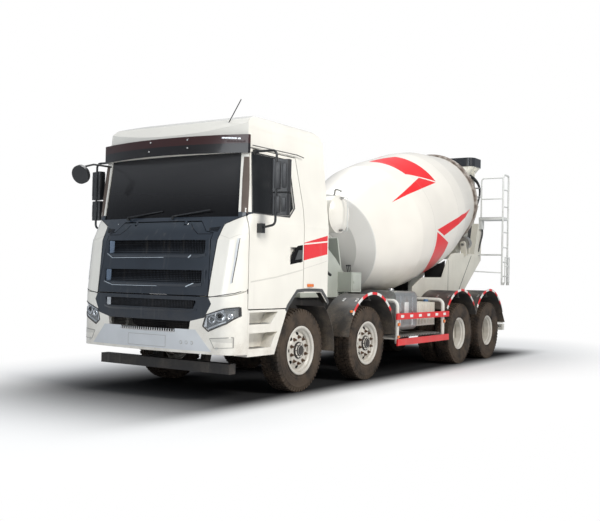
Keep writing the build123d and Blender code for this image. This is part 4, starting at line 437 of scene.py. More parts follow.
def guard_plastic():
    f = Finish("guard plastic with striped lips")
    base = f.mix(f.noise(4.0, 4.0).rise(0.3, 0.7), (0.020, 0.021, 0.023), (0.040, 0.042, 0.045))
    base = weather(f, base, 0.6, 1.45, 0.62)
    top_dust = f.z.rise(1.12, 1.26) * f.noise(6.0, 5.0).rise(0.42, 0.68) * 0.35
    base = f.mix(top_dust, base, (0.34, 0.31, 0.27))
    lip = abs(f.x) > 1.2385
    centre = (f.y > aft(3.2)) * (AXLE_Y[3] - AXLE_Y[2]) + AXLE_Y[2]
    centre = (f.y > (AXLE_Y[3] + AXLE_Y[4]) / 2) * (AXLE_Y[4] - AXLE_Y[3]) + centre
    angle = (f.z - TYRE_R).math("ARCTAN2", f.y - centre) * (180 / math.pi)
    wave = ((angle - 35.0) / STRIPE_PITCH).math("FRACT")
    stripe = f.mix(wave < 0.52, (0.72, 0.71, 0.68), (0.66, 0.020, 0.025))
    on_lip = lip * (angle > STRIPES_FROM) * (angle < STRIPES_TO) * (f.y > aft(1.0))
    base = f.mix(on_lip, base, weather(f, stripe, 0.6, 1.3, 0.25))
    return f.surface(colour=base, roughness=0.50 - 0.2 * on_lip,
                     normal=f.bump(f.noise(160.0), 0.15, 0.001))


def rail_red():
    f = Finish("red rail paint")
    base = tinted(f, (0.66, 0.007, 0.010), 0.10, 3.0)
    worn = f.noise(30.0, 5.0).rise(0.62, 0.72)
    base = f.mix(worn * 0.25, base, (0.42, 0.22, 0.19))
    return f.surface(colour=weather(f, base, 0.3, 1.1, 0.16), roughness=0.40 + 0.2 * worn, coat=0.2)


def guard_frame():
    f = Finish("post paint and holed walkway")
    paint = tinted(f, (0.70, 0.69, 0.64), 0.08, 3.0)
    flat = (f.z > 0.555) * (f.z < 0.59) * (abs(f.x) < 1.169) * (abs(f.x) > 0.745)
    cell_y = (f.y / 0.060).math("FRACT") - 0.5
    cell_x = (f.x / 0.052).math("FRACT") - 0.5
    away = (cell_y * cell_y + cell_x * cell_x).math("SQRT")
    # The holes are dark discs: painted shade in place of open holes.
    hole_shade = flat * (1.0 - away.rise(0.26, 0.31))
    lip = flat * (1.0 - abs(away - 0.37).rise(0.03, 0.07))
    base = f.mix(flat, paint, (0.42, 0.42, 0.40))
    base = weather(f, f.mix(lip, base, (0.60, 0.60, 0.58)), 0.3, 1.2, 0.5)
    base = f.mix(hole_shade, base, (0.012, 0.011, 0.010))
    return f.surface(colour=base, metallic=0.6 * flat * (1.0 - hole_shade), roughness=0.45,
                     normal=f.bump(lip - hole_shade, 0.6, 0.003))


guard_black, red_paint, guard_posts = guard_plastic(), rail_red(), guard_frame()
print("striped lips, rails and walkway ready")


# %% [markdown]
# ## Plastics, rubber, glass and cloth
# The lid's plastic is a slate blue with a soft sheen, painted paler towards its top as a painted highlight;
# mirrors and wipers are black with a fine moulded grain, and the seats and dash share a woven grey. Tyre
# rubber is brown with road dust, palest where it meets the road. The glass is a dark, almost closed sheet,
# its darkness painted shade for the cab behind it, and a lamp's lens is nearly clear; both use Alpha, which
# the export can bake, in place of true refraction. The windscreen turns lighter towards its top as a
# painted reflection.

# %% Plastics, rubber, glass, cloth
def moulded(name, colour, gloss=0.38, grain=180.0, coat=0.0, amount=0.25, specular=0.5):
    f = Finish(name)
    base = tinted(f, colour, 0.16, 3.0)
    return f.surface(colour=weather(f, base, 0.35, 1.5, amount), coat=coat, coat_roughness=0.1,
                     roughness=gloss + 0.12 * f.noise(20.0, 4.0).rise(0.4, 0.8), specular=specular,
                     normal=f.bump(f.noise(grain), 0.14, 0.0008))


def lid_finish():
    f = Finish("slate lid plastic")
    base = tinted(f, SLATE, 0.14, 2.2)
    # Painted highlight: the lid turns paler towards its top.
    pale = f.z.rise(1.95, 2.06) * 0.25
    base = f.mix(pale, base, (0.075, 0.092, 0.110))
    return f.surface(colour=weather(f, base, 0.5, 1.7, 0.10), metallic=0.25, coat=0.35,
                     coat_roughness=0.12, roughness=0.36 + 0.1 * f.noise(12.0, 4.0).rise(0.4, 0.8),
                     normal=f.bump(f.noise(240.0), 0.06, 0.0006))


def visor_finish():
    f = Finish("visor plastic")
    top = f.z.rise(2.996, 3.006)
    base = f.mix(top, (0.009, 0.008, 0.009), (0.034, 0.011, 0.011))
    base = f.mix(f.noise(5.0, 4.0).rise(0.55, 0.8) * 0.06, base, (0.16, 0.14, 0.13))
    return f.surface(colour=base, coat=0.3, coat_roughness=0.10, roughness=0.30, specular=0.3,
                     normal=f.bump(f.noise(7.0, 1.0), 0.10, 0.004))


def rubber():
    f = Finish("tyre rubber")
    base = f.mix(f.noise(9.0, 5.0).rise(0.35, 0.7), (0.022, 0.018, 0.015), (0.045, 0.034, 0.026))
    mud = f.noise(4.5, 6.0).rise(0.30, 0.62) * (0.6 + 0.4 * f.noise(70.0, 4.0).rise(0.3, 0.7))
    base = f.mix(mud * 0.75, base, (0.088, 0.062, 0.043))
    low = 1.0 - f.z.rise(0.0, 0.14)
    base = f.mix(low * 0.5, base, (0.15, 0.115, 0.085))
    return f.surface(colour=base, roughness=0.78, specular=0.3,
                     normal=f.bump(f.noise(120.0, 4.0) + mud, 0.25, 0.0015))


def glazing(name, colour, alpha, gloss=0.03):
    f = Finish(name)
    film = f.noise(3.0, 4.0).rise(0.5, 0.85)
    return f.surface(colour=f.mix(film * 0.15, colour, (0.16, 0.15, 0.14)), alpha=alpha + film * 0.05,
                     roughness=gloss + 0.05 * film, coat=0.15, coat_roughness=0.02, specular=0.3)


def screen_glass():
    f = Finish("windscreen glass")
    # The near-black, almost closed glass is painted shade for the cab behind it, and it turns lighter
    # towards its top as a painted reflection.
    painted_reflection = f.z.rise(2.15, 2.90)
    base = f.mix(painted_reflection, (0.008, 0.008, 0.009), (0.050, 0.050, 0.052))
    return f.surface(colour=base, alpha=0.95 + 0.02 * f.noise(2.0), roughness=0.10, coat=0.10,
                     coat_roughness=0.05, specular=0.15)


def seat_cloth():
    f = Finish("seat cloth and dash")
    weave = f.node("TexWave", {"wave_type": "BANDS"}, {"Vector": f.place, "Scale": 90.0,
                                                      "Distortion": 1.0}, out="Fac")
    base = f.mix(weave, (0.045, 0.046, 0.050), (0.085, 0.086, 0.092))
    return f.surface(colour=base, roughness=0.85, normal=f.bump(weave, 0.3, 0.001))


lid_slate, visor_dark, tyre_rubber = lid_finish(), visor_finish(), rubber()
black_trim = moulded("black moulded plastic", (0.020, 0.021, 0.023), 0.34)
# Grey moulded plastic; on the vane slits' outer edges it is painted shade.
grey_trim_and_shade_edge = moulded("grey arch plastic and painted shade edge", (0.060, 0.062, 0.064), 0.5)
# Black for grille meshes, seams and recesses, and also painted shade in the wheel vents, the gap under the
# lid and behind the bumper's step.
mesh_and_shade_black = moulded("grille mesh and painted shade", (0.006, 0.006, 0.007), 0.75, amount=0.05, specular=0.12)
# A paler slate for the slot facets: a painted highlight from the sky.
slate_sky_highlight = moulded("slate facet with painted sky highlight", (0.10, 0.14, 0.20), 0.25, coat=0.4)
lip_glint = moulded("glint on a lip", (0.50, 0.56, 0.62), 0.2, coat=0.5)
# The door glass is near black and almost closed: painted shade for the cab behind it.
side_glass = glazing("door glass", (0.007, 0.0075, 0.008), 0.94)
lens_clear = glazing("lamp lens", (0.62, 0.66, 0.70), 0.16, 0.02)
windscreen_dark, cloth = screen_glass(), seat_cloth()
print("plastics and glass ready")


# %% [markdown]
# ## Lamps and small coloured parts
# Lamp chrome is a mirror-like metal; a clear lens over it gives the depth. Orange and red lenses
# are coloured plastic with fine ribs. Light strips only glow faintly, since the truck stands in
# daylight, and reflectors and blank plates are plain with a fine grain.

# %% Lamp finishes
def lamp_metal():
    f = Finish("lamp chrome")
    return f.surface(colour=f.mix(f.noise(6.0), (0.62, 0.64, 0.67), (0.80, 0.82, 0.84)),
                     metallic=1.0, roughness=0.10 + 0.06 * f.noise(30.0))


def ribbed_lens(name, colour, deep, axis="y"):
    f = Finish(name)
    across = f.y if axis == "y" else f.x
    ribs = abs((across / 0.008).math("FRACT") - 0.5)
    base = f.mix(ribs, deep, colour)
    return f.surface(colour=weather(f, base, 0.4, 1.3, 0.2), roughness=0.22, coat=0.7,
                     coat_roughness=0.05, normal=f.bump(ribs, 0.35, 0.002))


def glow(name, colour):
    f = Finish(name)
    tone = f.mix(f.noise(40.0), tuple(c * 0.8 for c in colour), colour)
    return f.surface(colour=tone, glow=tone, glow_strength=0.35, roughness=0.25)


def blank_plate(name, colour):
    f = Finish(name)
    return f.surface(colour=weather(f, tinted(f, colour, 0.05, 6.0), 0.4, 1.5, 0.25), roughness=0.35,
                     normal=f.bump(f.noise(300.0), 0.1, 0.0005))


chrome = lamp_metal()
orange_lens = ribbed_lens("orange lens", (0.95, 0.26, 0.02), (0.62, 0.12, 0.01))
red_lens = ribbed_lens("red lens", (0.60, 0.010, 0.014), (0.30, 0.004, 0.006), "x")
strip_white = glow("white light strip", (0.88, 0.92, 0.97))
reflect_white = blank_plate("white reflector", (0.84, 0.83, 0.80))
plate_white = blank_plate("blank plate", (0.70, 0.71, 0.70))
cap_blue = moulded("blue cap", (0.05, 0.15, 0.32), 0.35)
pillar_brown = moulded("pillar lining", (0.115, 0.085, 0.068), 0.6, grain=60.0)
print("lamp finishes ready")


# %% [markdown]
# ## Dressing the ready-made nodes
# Every CAD node keeps its mesh and gets its finish by filling its material slots. A table is the
# clearest way: one line per finish, with the nodes that wear it.

# %% Finishes onto the nodes
front_axles, rear_axles = (1, 2), (3, 4)
wheel_white = worn_paint("wheel paint", (0.62, 0.60, 0.55), 0.40, 0.4, 0.1, 1.3, 0.55)


def each_wheel(start, axles):
    return [f"{start}_{number}_{side}" for number in axles for side in dict(SIDES)]


wardrobe = {
    cab_white: ["cab_shell", "door_left", "door_right", "water_tank"],
    trim_white: ["step_panels", "bumper"],
    windscreen_dark: ["windscreen"],
    side_glass: ["door_glass_left", "door_glass_right"],
    black_trim: ["mirror_left", "mirror_right", "cab_fittings"],
    lid_slate: ["front_lid", "lower_grille"],
    visor_dark: ["sun_visor"],
    cloth: ["cab_interior"],
    lens_clear: ["headlamps"],
    drum_cream: ["drum"],
    stand_green: ["front_stand"],
    stand_cream: ["rear_stand", "feed_hopper", "discharge_hopper", "side_boxes", "chute_post",
                  "chute"],
    rail_white: ["ladder", "ladder_lower"],
    band_black: ["hopper_band", "jack_barrel"],
    guard_black: ["mudguards"],
    guard_posts: ["side_guards"],
    red_paint: ["side_guard_rails"],
    galvanised: ["fuel_tank"],
    frame_black_and_shade: ["chassis_frame"],
    cast_iron: ["axles", "driveline", "drum_drive"] + each_wheel("knuckle", front_axles),
    plain_steel: ["roller_left", "roller_right", "jack_rod"],
    wheel_white: each_wheel("wheel", front_axles) + each_wheel("twin_wheel", rear_axles),
    tyre_rubber: each_wheel("tyre", front_axles) + each_wheel("twin_tyres", rear_axles),
}
for finish, names in wardrobe.items():
    for name in names:
        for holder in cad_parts[name].material_slots:
            holder.material = finish
bare = set(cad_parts) - {n for names in wardrobe.values() for n in names}
print("nodes left bare:", sorted(bare))


# %% [markdown]
# ## Tools for new pieces
# Each new piece starts as a small bmesh shape, is turned and moved as a whole, and is gathered
# with its neighbours into one mesh. The shapes are the few that a workshop would use: a block, a
# round bar, a turned profile, a plate cut from an outline, and a pipe bent along points. What
# they share comes first: rounding edges, turning faces outwards, finding new corners, and moving,
# mirroring and joining shapes.

# %% What all shapes share
def rounded(shape, edges, offset, steps=2):
    bmesh.ops.bevel(shape, geom=edges, offset=offset, segments=steps, affect="EDGES", profile=0.5,
                    material=-1, offset_type="OFFSET")


def outward(shape):
    bmesh.ops.recalc_face_normals(shape, faces=shape.faces)
    return shape


def new_corners(made):
    """The vertices among what an operator made."""
    return [g for g in made["geom"] if isinstance(g, bmesh.types.BMVert)]


def moved(shape, shift=(0, 0, 0), angle=0.0, axis="X", centre=(0, 0, 0)):
    if angle:
        bmesh.ops.rotate(shape, cent=centre, matrix=Matrix.Rotation(math.radians(angle), 3, axis),
                         verts=shape.verts)
    bmesh.ops.translate(shape, vec=shift, verts=shape.verts)
    return shape


def aimed(shape, angle, place):
    """The shape turned about the upright axis, then set in its place."""
    return moved(moved(shape, angle=angle, axis="Z"), place)


def mirrored(shape):
    """A copy on the truck's other side."""
    other = shape.copy()
    bmesh.ops.scale(other, vec=(-1, 1, 1), verts=other.verts)
    return outward(other)


def on_side(shape, sign):
    return shape if sign > 0 else mirrored(shape)


def both(shapes):
    """The shapes and their copies on the other side."""
    return [s for shape in shapes for s in (mirrored(shape), shape)]


def gather(whole, extra):
    """One shape's mesh added to another's."""
    spare = bpy.data.meshes.new("spare")
    extra.to_mesh(spare)
    whole.from_mesh(spare)
    bpy.data.meshes.remove(spare)
    extra.free()


def ringed(shape, count, centre):
    """Copies of a shape set round a wheel's axis."""
    whole = shape.copy()
    for i in range(1, count):
        gather(whole, moved(shape.copy(), angle=360.0 / count * i, centre=centre))
    return whole


print("shapes can be rounded, moved, mirrored and joined")


# %% [markdown]
# ## The basic shapes
# A block is a cube with its edges bevelled, a rod is a cone of two equal ends turned to its aim,
# and a turned shape is a profile of radius and distance spun about one axis. A plate is one face
# made from an outline and extruded.

# %% Block, rod, turned shape and plate
def block(low, high, edge=0.003, steps=2):
    shape = bmesh.new()
    bmesh.ops.create_cube(shape, size=1.0)
    size = [b - a for a, b in zip(low, high)]
    bmesh.ops.scale(shape, vec=size, verts=shape.verts)
    if edge:
        rounded(shape, shape.edges, min(edge, min(size) * 0.45), steps)
    return moved(shape, [(a + b) / 2 for a, b in zip(low, high)])


def rod(start, end, radius, sides=12, tip=None):
    shape = bmesh.new()
    start, end = Vector(start), Vector(end)
    bmesh.ops.create_cone(shape, cap_ends=True, segments=sides, radius1=radius,
                          radius2=radius if tip is None else tip, depth=(end - start).length)
    aim = (end - start).to_track_quat("Z", "Y").to_matrix().to_4x4()
    bmesh.ops.transform(shape, matrix=Matrix.Translation((start + end) / 2) @ aim, verts=shape.verts)
    return shape


def turned(profile, centre, axis="X", steps=32):
    """A profile of (radius, distance along the axis) spun all round; it ends on the axis or closes."""
    shape = bmesh.new()
    aim = {"X": lambda r, d: (d, 0, r), "Y": lambda r, d: (0, d, r), "Z": lambda r, d: (r, 0, d)}[axis]
    points = [shape.verts.new(aim(r, d)) for r, d in profile]
    for one, two in zip(points, points[1:]):
        shape.edges.new((one, two))
    direction = {"X": (1, 0, 0), "Y": (0, 1, 0), "Z": (0, 0, 1)}[axis]
    bmesh.ops.spin(shape, geom=shape.verts[:] + shape.edges[:], cent=(0, 0, 0), axis=direction,
                   angle=math.tau, steps=steps, use_merge=True, use_normal_flip=False,
                   use_duplicate=False)
    bmesh.ops.remove_doubles(shape, verts=shape.verts, dist=1e-5)
    return moved(outward(shape), centre)


def plate(outline, low, high, axis="X", edge=0.0):
    """A flat outline of (first, second) coordinates, as thick as from low to high along the axis."""
    shape = bmesh.new()
    lay = {"X": lambda a, b: (low, a, b), "Y": lambda a, b: (a, low, b), "Z": lambda a, b: (a, b, low)}
    face = shape.faces.new([shape.verts.new(lay[axis](a, b)) for a, b in outline])
    grown = bmesh.ops.extrude_face_region(shape, geom=[face])
    away = {"X": (high - low, 0, 0), "Y": (0, high - low, 0), "Z": (0, 0, high - low)}[axis]
    bmesh.ops.translate(shape, vec=away, verts=new_corners(grown))
    outward(shape)
    if edge:
        rounded(shape, shape.edges, edge)
    return shape


print("basic shapes ready")


# %% [markdown]
# ## Pieces that ride
# Every object must ride on a body of the truck, so that it moves when a door opens or the drum
# turns. One helper settles any mesh on its body; a piece gathers its shapes first, and a pipe is
# a bevelled curve that becomes a mesh.

# %% Pieces and pipes
def settle(name, mesh, body):
    """A mesh becomes an object that rides on a body of the truck."""
    made = bpy.data.objects.new(name, mesh)
    bpy.context.scene.collection.objects.link(made)
    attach(made, body)
    print(f"{name}: {len(mesh.polygons)} faces on {body}")
    return made


def piece(name, shapes, finish, body, smooth=35.0):
    """The shapes become one object that rides on a body of the truck."""
    whole = bmesh.new()
    for shape in shapes:
        gather(whole, shape)
    mesh = bpy.data.meshes.new(name)
    whole.to_mesh(mesh)
    whole.free()
    mesh.materials.append(finish)
    mesh.shade_smooth()
    mesh.set_sharp_from_angle(angle=math.radians(smooth))
    return settle(name, mesh, body)


def pipe(name, points, radius, finish, body, smooth=True):
    """A bent pipe or clipped hose: a bevelled curve through points, made a mesh."""
    curve = bpy.data.curves.new(name, "CURVE")
    curve.dimensions, curve.bevel_depth, curve.bevel_resolution = "3D", radius, 3
    curve.use_fill_caps, curve.resolution_u = True, 6
    spline = curve.splines.new("NURBS" if smooth else "POLY")
    spline.points.add(len(points) - 1)
    for point, place in zip(spline.points, points):
        point.co = (*place, 1.0)
    if smooth:
        spline.order_u, spline.use_endpoint_u = 3, True
    holder = bpy.data.objects.new(name, curve)
    mesh = bpy.data.meshes.new_from_object(holder)
    bpy.data.objects.remove(holder)
    mesh.materials.clear()
    mesh.materials.append(finish)
    mesh.shade_smooth()
    return settle(name, mesh, body)


print("pieces can ride")


# %% [markdown]
# ## Tyres with tread
# A truck tyre is a ring with a bulging side wall, fine rings round the rim, and blocks of tread.
# Booleans would cut grooves slowly; here the carcass is spun and the blocks are spun as copies,
# five to a pitch and fifty-four pitches round, with the middle rows set half a pitch on.

# %% One tyre, twelve places
TYRE_W, PITCHES = 0.278, 54
SINGLE_X, TWIN_X = 1.021, (1.096, 0.774)


def tyre(x, y):
    half = TYRE_W / 2
    wall = [(0.288, 0.108), (0.296, 0.122), (0.318, 0.128), (0.324, 0.131), (0.330, 0.1285),
            (0.352, 0.134), (0.358, 0.1365), (0.364, 0.134), (0.395, 0.1385), (0.430, half),
            (0.455, 0.1375), (0.461, 0.1385), (0.467, 0.1355), (0.490, 0.129), (0.506, 0.121),
            (0.5135, 0.108), (0.516, 0.060)]
    section = wall + [(r, -d) for r, d in reversed(wall)]
    ring = turned(section + [section[0]], (0, 0, 0), "X", steps=72)
    pitch = 360.0 / PITCHES
    rows = ((-0.108, 0.036, 0.0), (-0.060, 0.040, 0.5), (0.0, 0.052, 0.0), (0.060, 0.040, 0.5),
            (0.108, 0.036, 0.0))
    step = bmesh.new()
    for place, width, shift in rows:
        at_edge = abs(place) > 0.1
        long = TYRE_R * math.radians(pitch) * (0.60 if at_edge else 0.74)
        deep = 0.044 if at_edge else 0.018
        lug = bmesh.new()
        bmesh.ops.create_cube(lug, size=1.0)
        bmesh.ops.scale(lug, vec=(width, long, deep), verts=lug.verts)
        if at_edge:
            outer = [v for v in lug.verts if v.co.x * place > 0]
            bmesh.ops.translate(lug, vec=(0, 0, -0.007), verts=outer)
            low = [v for v in outer if v.co.z < 0]
            bmesh.ops.translate(lug, vec=(0.010 if place > 0 else -0.010, 0, -0.004), verts=low)
        moved(lug, (place, 0, TYRE_R - 0.0004 - deep / 2))
        gather(step, moved(lug, angle=pitch * shift))
    bmesh.ops.spin(step, geom=step.verts[:] + step.edges[:] + step.faces[:], cent=(0, 0, 0),
                   axis=(1, 0, 0), angle=math.tau * (PITCHES - 1) / PITCHES, steps=PITCHES - 1,
                   use_merge=False, use_normal_flip=False, use_duplicate=True)
    gather(ring, step)
    return moved(ring, (x, y, TYRE_R))


for axles, places, made_name, node, wheel in (
        (front_axles, (SINGLE_X,), "treaded_tyre", "tyre", "front_wheel"),
        (rear_axles, TWIN_X, "treaded_twins", "twin_tyres", "rear_wheel")):
    for number in axles:
        for side, sign in SIDES:
            made = piece(f"{made_name}_{number}_{side}",
                         [tyre(sign * x, AXLE_Y[number]) for x in places],
                         tyre_rubber, f"{wheel}_{number}_{side}", 28)
            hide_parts(f"{node}_{number}_{side}")


# %% [markdown]
# ## Wheel nuts and hubs
# Ten nuts with washers hold each front wheel on a 335 mm circle, round a dark greasy hub with its
# own ring of bolts. Eight vents pierce the disc; seen at a slant they would show the white wheel
# behind them, so a dark ring and dark discs sit in them as painted shade. A rolled flange rounds off the
# rim. The rear wheels lie deep in their twin tyres and keep the CAD's own discs and hubs.

# %% Nuts, washers, vents and hubs
NUT_CIRCLE, NUT_R, NUT_LONG, DISC_X = 0.1675, 0.0165, 0.030, 1.119
FLANGE = [(0.268, 0.100), (0.276, 0.128), (0.290, 0.1385), (0.306, 0.1385), (0.311, 0.134),
          (0.306, 0.130), (0.290, 0.127), (0.280, 0.100), (0.268, 0.100)]
VENT_RING = [(0.150, 0.0), (0.228, 0.0), (0.228, 0.004), (0.150, 0.004), (0.150, 0.0)]
HUB = [(0.0, 0.0435), (0.058, 0.0435), (0.066, 0.040), (0.0752, 0.0268), (0.0752, 0.0230),
       (0.1006, 0.0228), (0.1086, 0.002), (0.1086, -0.003), (0.0, -0.003)]


def nut(x, y, sign):
    """One nut on its washer, with its stud's end."""
    z, tip = TYRE_R + NUT_CIRCLE, x + sign * NUT_LONG
    shape = rod((x, y, z), (tip, y, z), NUT_R, 6, NUT_R * 0.9)
    gather(shape, rod((x - sign * 0.004, y, z), (x + sign * 0.006, y, z), NUT_R * 1.45, 14))
    gather(shape, rod((tip, y, z), (tip + sign * 0.012, y, z), NUT_R * 0.5, 8))
    return shape


def wheel_ring(profile, x, y, sign, steps):
    """A profile of (radius, distance outboard of x) turned about the wheel's axis."""
    return turned([(r, sign * d) for r, d in profile], (sign * x, y, TYRE_R), "X", steps)


for number in front_axles:
    for side, sign in SIDES:
        y = AXLE_Y[number]
        middle = (sign * DISC_X, y, TYRE_R)
        # Dark discs in the vents and a dark ring behind them: painted shade.
        vent = rod((sign * 1.0935, y, TYRE_R + 0.2098), (sign * 1.1000, y, TYRE_R + 0.2126), 0.0235, 18)
        bolt = rod((sign * 1.140, y, TYRE_R + 0.088), (sign * 1.149, y, TYRE_R + 0.088), 0.007, 6)
        for name, shapes, finish in (
                ("front_nuts", [ringed(nut(sign * DISC_X, y, sign), 10, middle)], nut_steel),
                ("rim_flange", [wheel_ring(FLANGE, SINGLE_X, y, sign, 64)], wheel_white),
                ("vent_shade", [wheel_ring(VENT_RING, 1.080, y, sign, 40)], mesh_and_shade_black),
                ("vent_shade_discs", [ringed(vent, 8, middle)], mesh_and_shade_black),
                ("front_hub", [wheel_ring(HUB, DISC_X, y, sign, 36), ringed(bolt, 8, middle)],
                 frame_black_and_shade)):
            piece(f"{name}_{number}_{side}", shapes, finish, f"front_wheel_{number}_{side}")
print("wheel nuts placed")


# %% [markdown]
# ## The lid's meshes and facets
# Behind the lid's two long slots, and the one under them, sits a black mesh, and each slot ends
# in a pale slanted facet that catches the sky; on the lid's slots that paleness is a painted highlight. A
# mesh could be an image with alpha; real bars read better up close, so thin bars are laid along the skin, a
# little way behind it.

# %% Slot meshes and their end facets
def bridged(shape, rings):
    """Rings of corners joined one to the next into a bar, and its ends closed."""
    for ring in rings:
        for a, b in zip(ring, ring[1:] + ring[:1]):
            shape.edges.new((a, b))
    for one, two in zip(rings, rings[1:]):
        edges = [e for e in shape.edges if all(v in one or v in two for v in e.verts)]
        bmesh.ops.bridge_loops(shape, edges=edges)
    for ring in (rings[0], rings[-1]):
        shape.faces.new(ring)
    return outward(shape)


def skin_strip(x_from, x_to, low, high, out_low, out_high, deep, steps=12):
    """A bar that follows the skin in x, from low to high, standing out by out_low and out_high."""
    shape = bmesh.new()
    corners = ((low, out_low), (high, out_high), (high, -deep), (low, -deep))
    rings = []
    for i in range(steps + 1):
        x = x_from + (x_to - x_from) * i / steps
        rings.append([shape.verts.new((x, skin(x, z) - out, z)) for z, out in corners])
    return bridged(shape, rings)


def slot_mesh(half, low, high):
    bars, deep = [], 0.030
    for i in range(7):
        z = low + (high - low) * (i + 0.5) / 7
        bars.append(skin_strip(-half, half, z - 0.0035, z + 0.0035, -deep, -deep, deep + 0.006, 14))
    count = int(2 * half / 0.022)
    for i in range(count):
        x = -half + 2 * half * (i + 0.5) / count
        y = skin(x, (low + high) / 2) + deep + 0.003
        bars.append(block((x - 0.003, y - 0.003, low), (x + 0.003, y + 0.004, high), 0))
    return bars


meshes = slot_mesh(0.745, 1.366, 1.512) + slot_mesh(0.750, 1.706, 1.864)
piece("lid_slot_meshes", meshes, mesh_and_shade_black, "lid", 30)
piece("low_slot_mesh", slot_mesh(0.69, 1.070, 1.166), mesh_and_shade_black, "cab", 30)


def facet(x, low, high, run):
    """A slanted end wall: flush with the skin at the outside, deep at the inside."""
    y_out, y_in = skin(x, (low + high) / 2) + 0.001, skin(x - run, (low + high) / 2) + 0.030
    return plate([(x, y_out), (x + 0.004, y_out + 0.012), (x - run, y_in + 0.008), (x - run, y_in)],
                 low, high, "Z")


def end_cap(x, reach, low, high, proud):
    """A dark moulded end beyond a slot, which rises off the skin towards its outer edge."""
    z = (low + high) / 2
    return plate([(x, skin(x, z) + 0.001), (reach, skin(reach, z) - proud),
                  (reach + 0.006, skin(reach, z) - proud + 0.003),
                  (reach + 0.007, skin(reach, z) - 0.001)], low, high, "Z")


caps, pale_ends = [], []
for half, low, high, reach in ((0.775, 1.368, 1.510, 0.826), (0.780, 1.708, 1.862, 0.838)):
    pale_ends.append(mirrored(facet(half - 0.014, low, high, 0.058)))
    caps += [end_cap(half, reach, low - 0.006, high + 0.006, 0.014),
             mirrored(end_cap(half, reach, low - 0.006, high + 0.006, 0.010))]
# The lid's pale facets are a painted highlight.
piece("lid_slot_facets", pale_ends, slate_sky_highlight, "lid")
piece("lid_slot_ends", caps, lid_slate, "lid")
piece("low_slot_facets", both([facet(0.700, 1.072, 1.164, 0.040)]), chrome, "cab")


def lip_bar(half, z, rise, proud, dip):
    """A chamfered lip under a slot, whose ends sweep up."""
    middle = skin_strip(-half + 0.11, half - 0.11, z - rise, z, proud * 0.2, proud, 0.004)
    ends = []
    for sign in (1, -1):
        end = skin_strip(sign * (half - 0.11), sign * half, z - rise, z, proud * 0.2, proud, 0.004, 3)
        for v in end.verts:
            v.co.z += dip * max(abs(v.co.x) - (half - 0.11), 0) / 0.11
        ends.append(end)
    return [middle, *ends]


lips = lip_bar(0.80, 1.690, 0.030, 0.012, 0.022) + lip_bar(0.79, 1.350, 0.030, 0.012, 0.022)
piece("lid_slot_lips", lips, lid_slate, "lid")
piece("low_trim_lip", lip_bar(0.74, 1.052, 0.026, 0.010, 0.020), lid_slate, "cab")


# %% [markdown]
# ## Seams and vents at the top of the lid
# From the wipers' feet a seam runs down and outwards to a dark slatted fan beside each top
# corner of the lid. The seam is a thin dark strip a millimetre proud of the skin, because a
# groove that fine would vanish from a few metres. A patch of skin is an outline cut into small
# faces, each corner of which is then laid on the skin.

# %% Lid seams and corner vents
def skin_line(start, end, wide, out, steps=6):
    """A thin strip on the skin between two (x, z) points."""
    shape = bmesh.new()
    run = Vector((end[0] - start[0], end[1] - start[1])).normalized()
    across = Vector((-run.y, run.x)) * wide / 2
    rings = []
    for i in range(steps + 1):
        x = start[0] + (end[0] - start[0]) * i / steps
        z = start[1] + (end[1] - start[1]) * i / steps
        ring = []
        for side, depth in ((1, out), (-1, out), (-1, -0.003), (1, -0.003)):
            px, pz = x + across.x * side, z + across.y * side
            ring.append(shape.verts.new((px, skin(px, pz) - depth, pz)))
        rings.append(ring)
    return bridged(shape, rings)


def skin_route(points, wide, out=0.0015):
    """Thin strips on the skin from point to point."""
    return [skin_line(start, end, wide, out, 4) for start, end in zip(points, points[1:])]


def skin_patch(outline, out):
    """A sheet on the skin inside an outline of (x, z) points, cut finely enough to follow it."""
    deep = 0.004
    shape = bmesh.new()
    shape.faces.new([shape.verts.new((x, 0, z)) for x, z in outline])
    for axis, pitch in ((0, 0.05), (2, 0.08)):
        places = [point[axis // 2] for point in outline]
        for i in range(math.ceil(min(places) / pitch), math.floor(max(places) / pitch) + 1):
            spot, across = [0, 0, 0], [0, 0, 0]
            spot[axis], across[axis] = i * pitch, 1
            bmesh.ops.bisect_plane(shape, geom=shape.verts[:] + shape.edges[:] + shape.faces[:],
                                   dist=1e-6, plane_co=spot, plane_no=across)
    for v in shape.verts:
        v.co.y = skin(v.co.x, v.co.z) - out
    lifted = bmesh.ops.extrude_face_region(shape, geom=shape.faces[:])
    bmesh.ops.translate(shape, vec=(0, out + deep, 0), verts=new_corners(lifted))
    return outward(shape)


piece("lid_gap_shade", [skin_strip(-0.60, 0.60, 1.208, 1.224, -0.014, -0.014, 0.020)],
      mesh_and_shade_black, "cab")
seams = skin_route([(0.490, 2.064), (0.540, 2.005), (0.634, 1.939), (0.826, 1.939)], 0.006)
piece("lid_seams", both(seams), mesh_and_shade_black, "lid")
# Pale strips along the lips' top edges: painted highlights.
glints = skin_route([(-0.780, 1.706), (-0.677, 1.651), (0.193, 1.660)], 0.005, 0.0145)
glints += skin_route([(-0.770, 1.361), (-0.611, 1.318), (0.143, 1.322)], 0.005, 0.0145)
glints += skin_route([(0.568, 1.659), (0.602, 1.689)], 0.010, 0.0145)
glints += skin_route([(0.578, 1.323), (0.673, 1.361)], 0.010, 0.0145)
piece("lid_lip_glints", glints, lip_glint, "lid")
vents = [skin_patch([(0.775, 1.975), (0.893, 1.968), (0.912, 2.027), (0.770, 2.013)], 0.002)]
piece("corner_vents", both(vents), mesh_and_shade_black, "cab")
slats = [skin_line((0.778, 1.982 + 0.013 * i), (0.898 + 0.004 * i, 1.980 + 0.015 * i), 0.005, 0.005, 4)
         for i in range(3)]
piece("corner_vent_slats", both(slats), lid_slate, "cab")
for name, x, z, body in (("lid_washer_jet", 0.436, 2.062, "lid"),
                         ("cab_washer_jet", -0.743, 2.079, "cab")):
    y = skin(x, z)
    piece(name, [rod((x, y + 0.004, z), (x, y - 0.010, z), 0.010, 14, 0.006)], chrome, body)
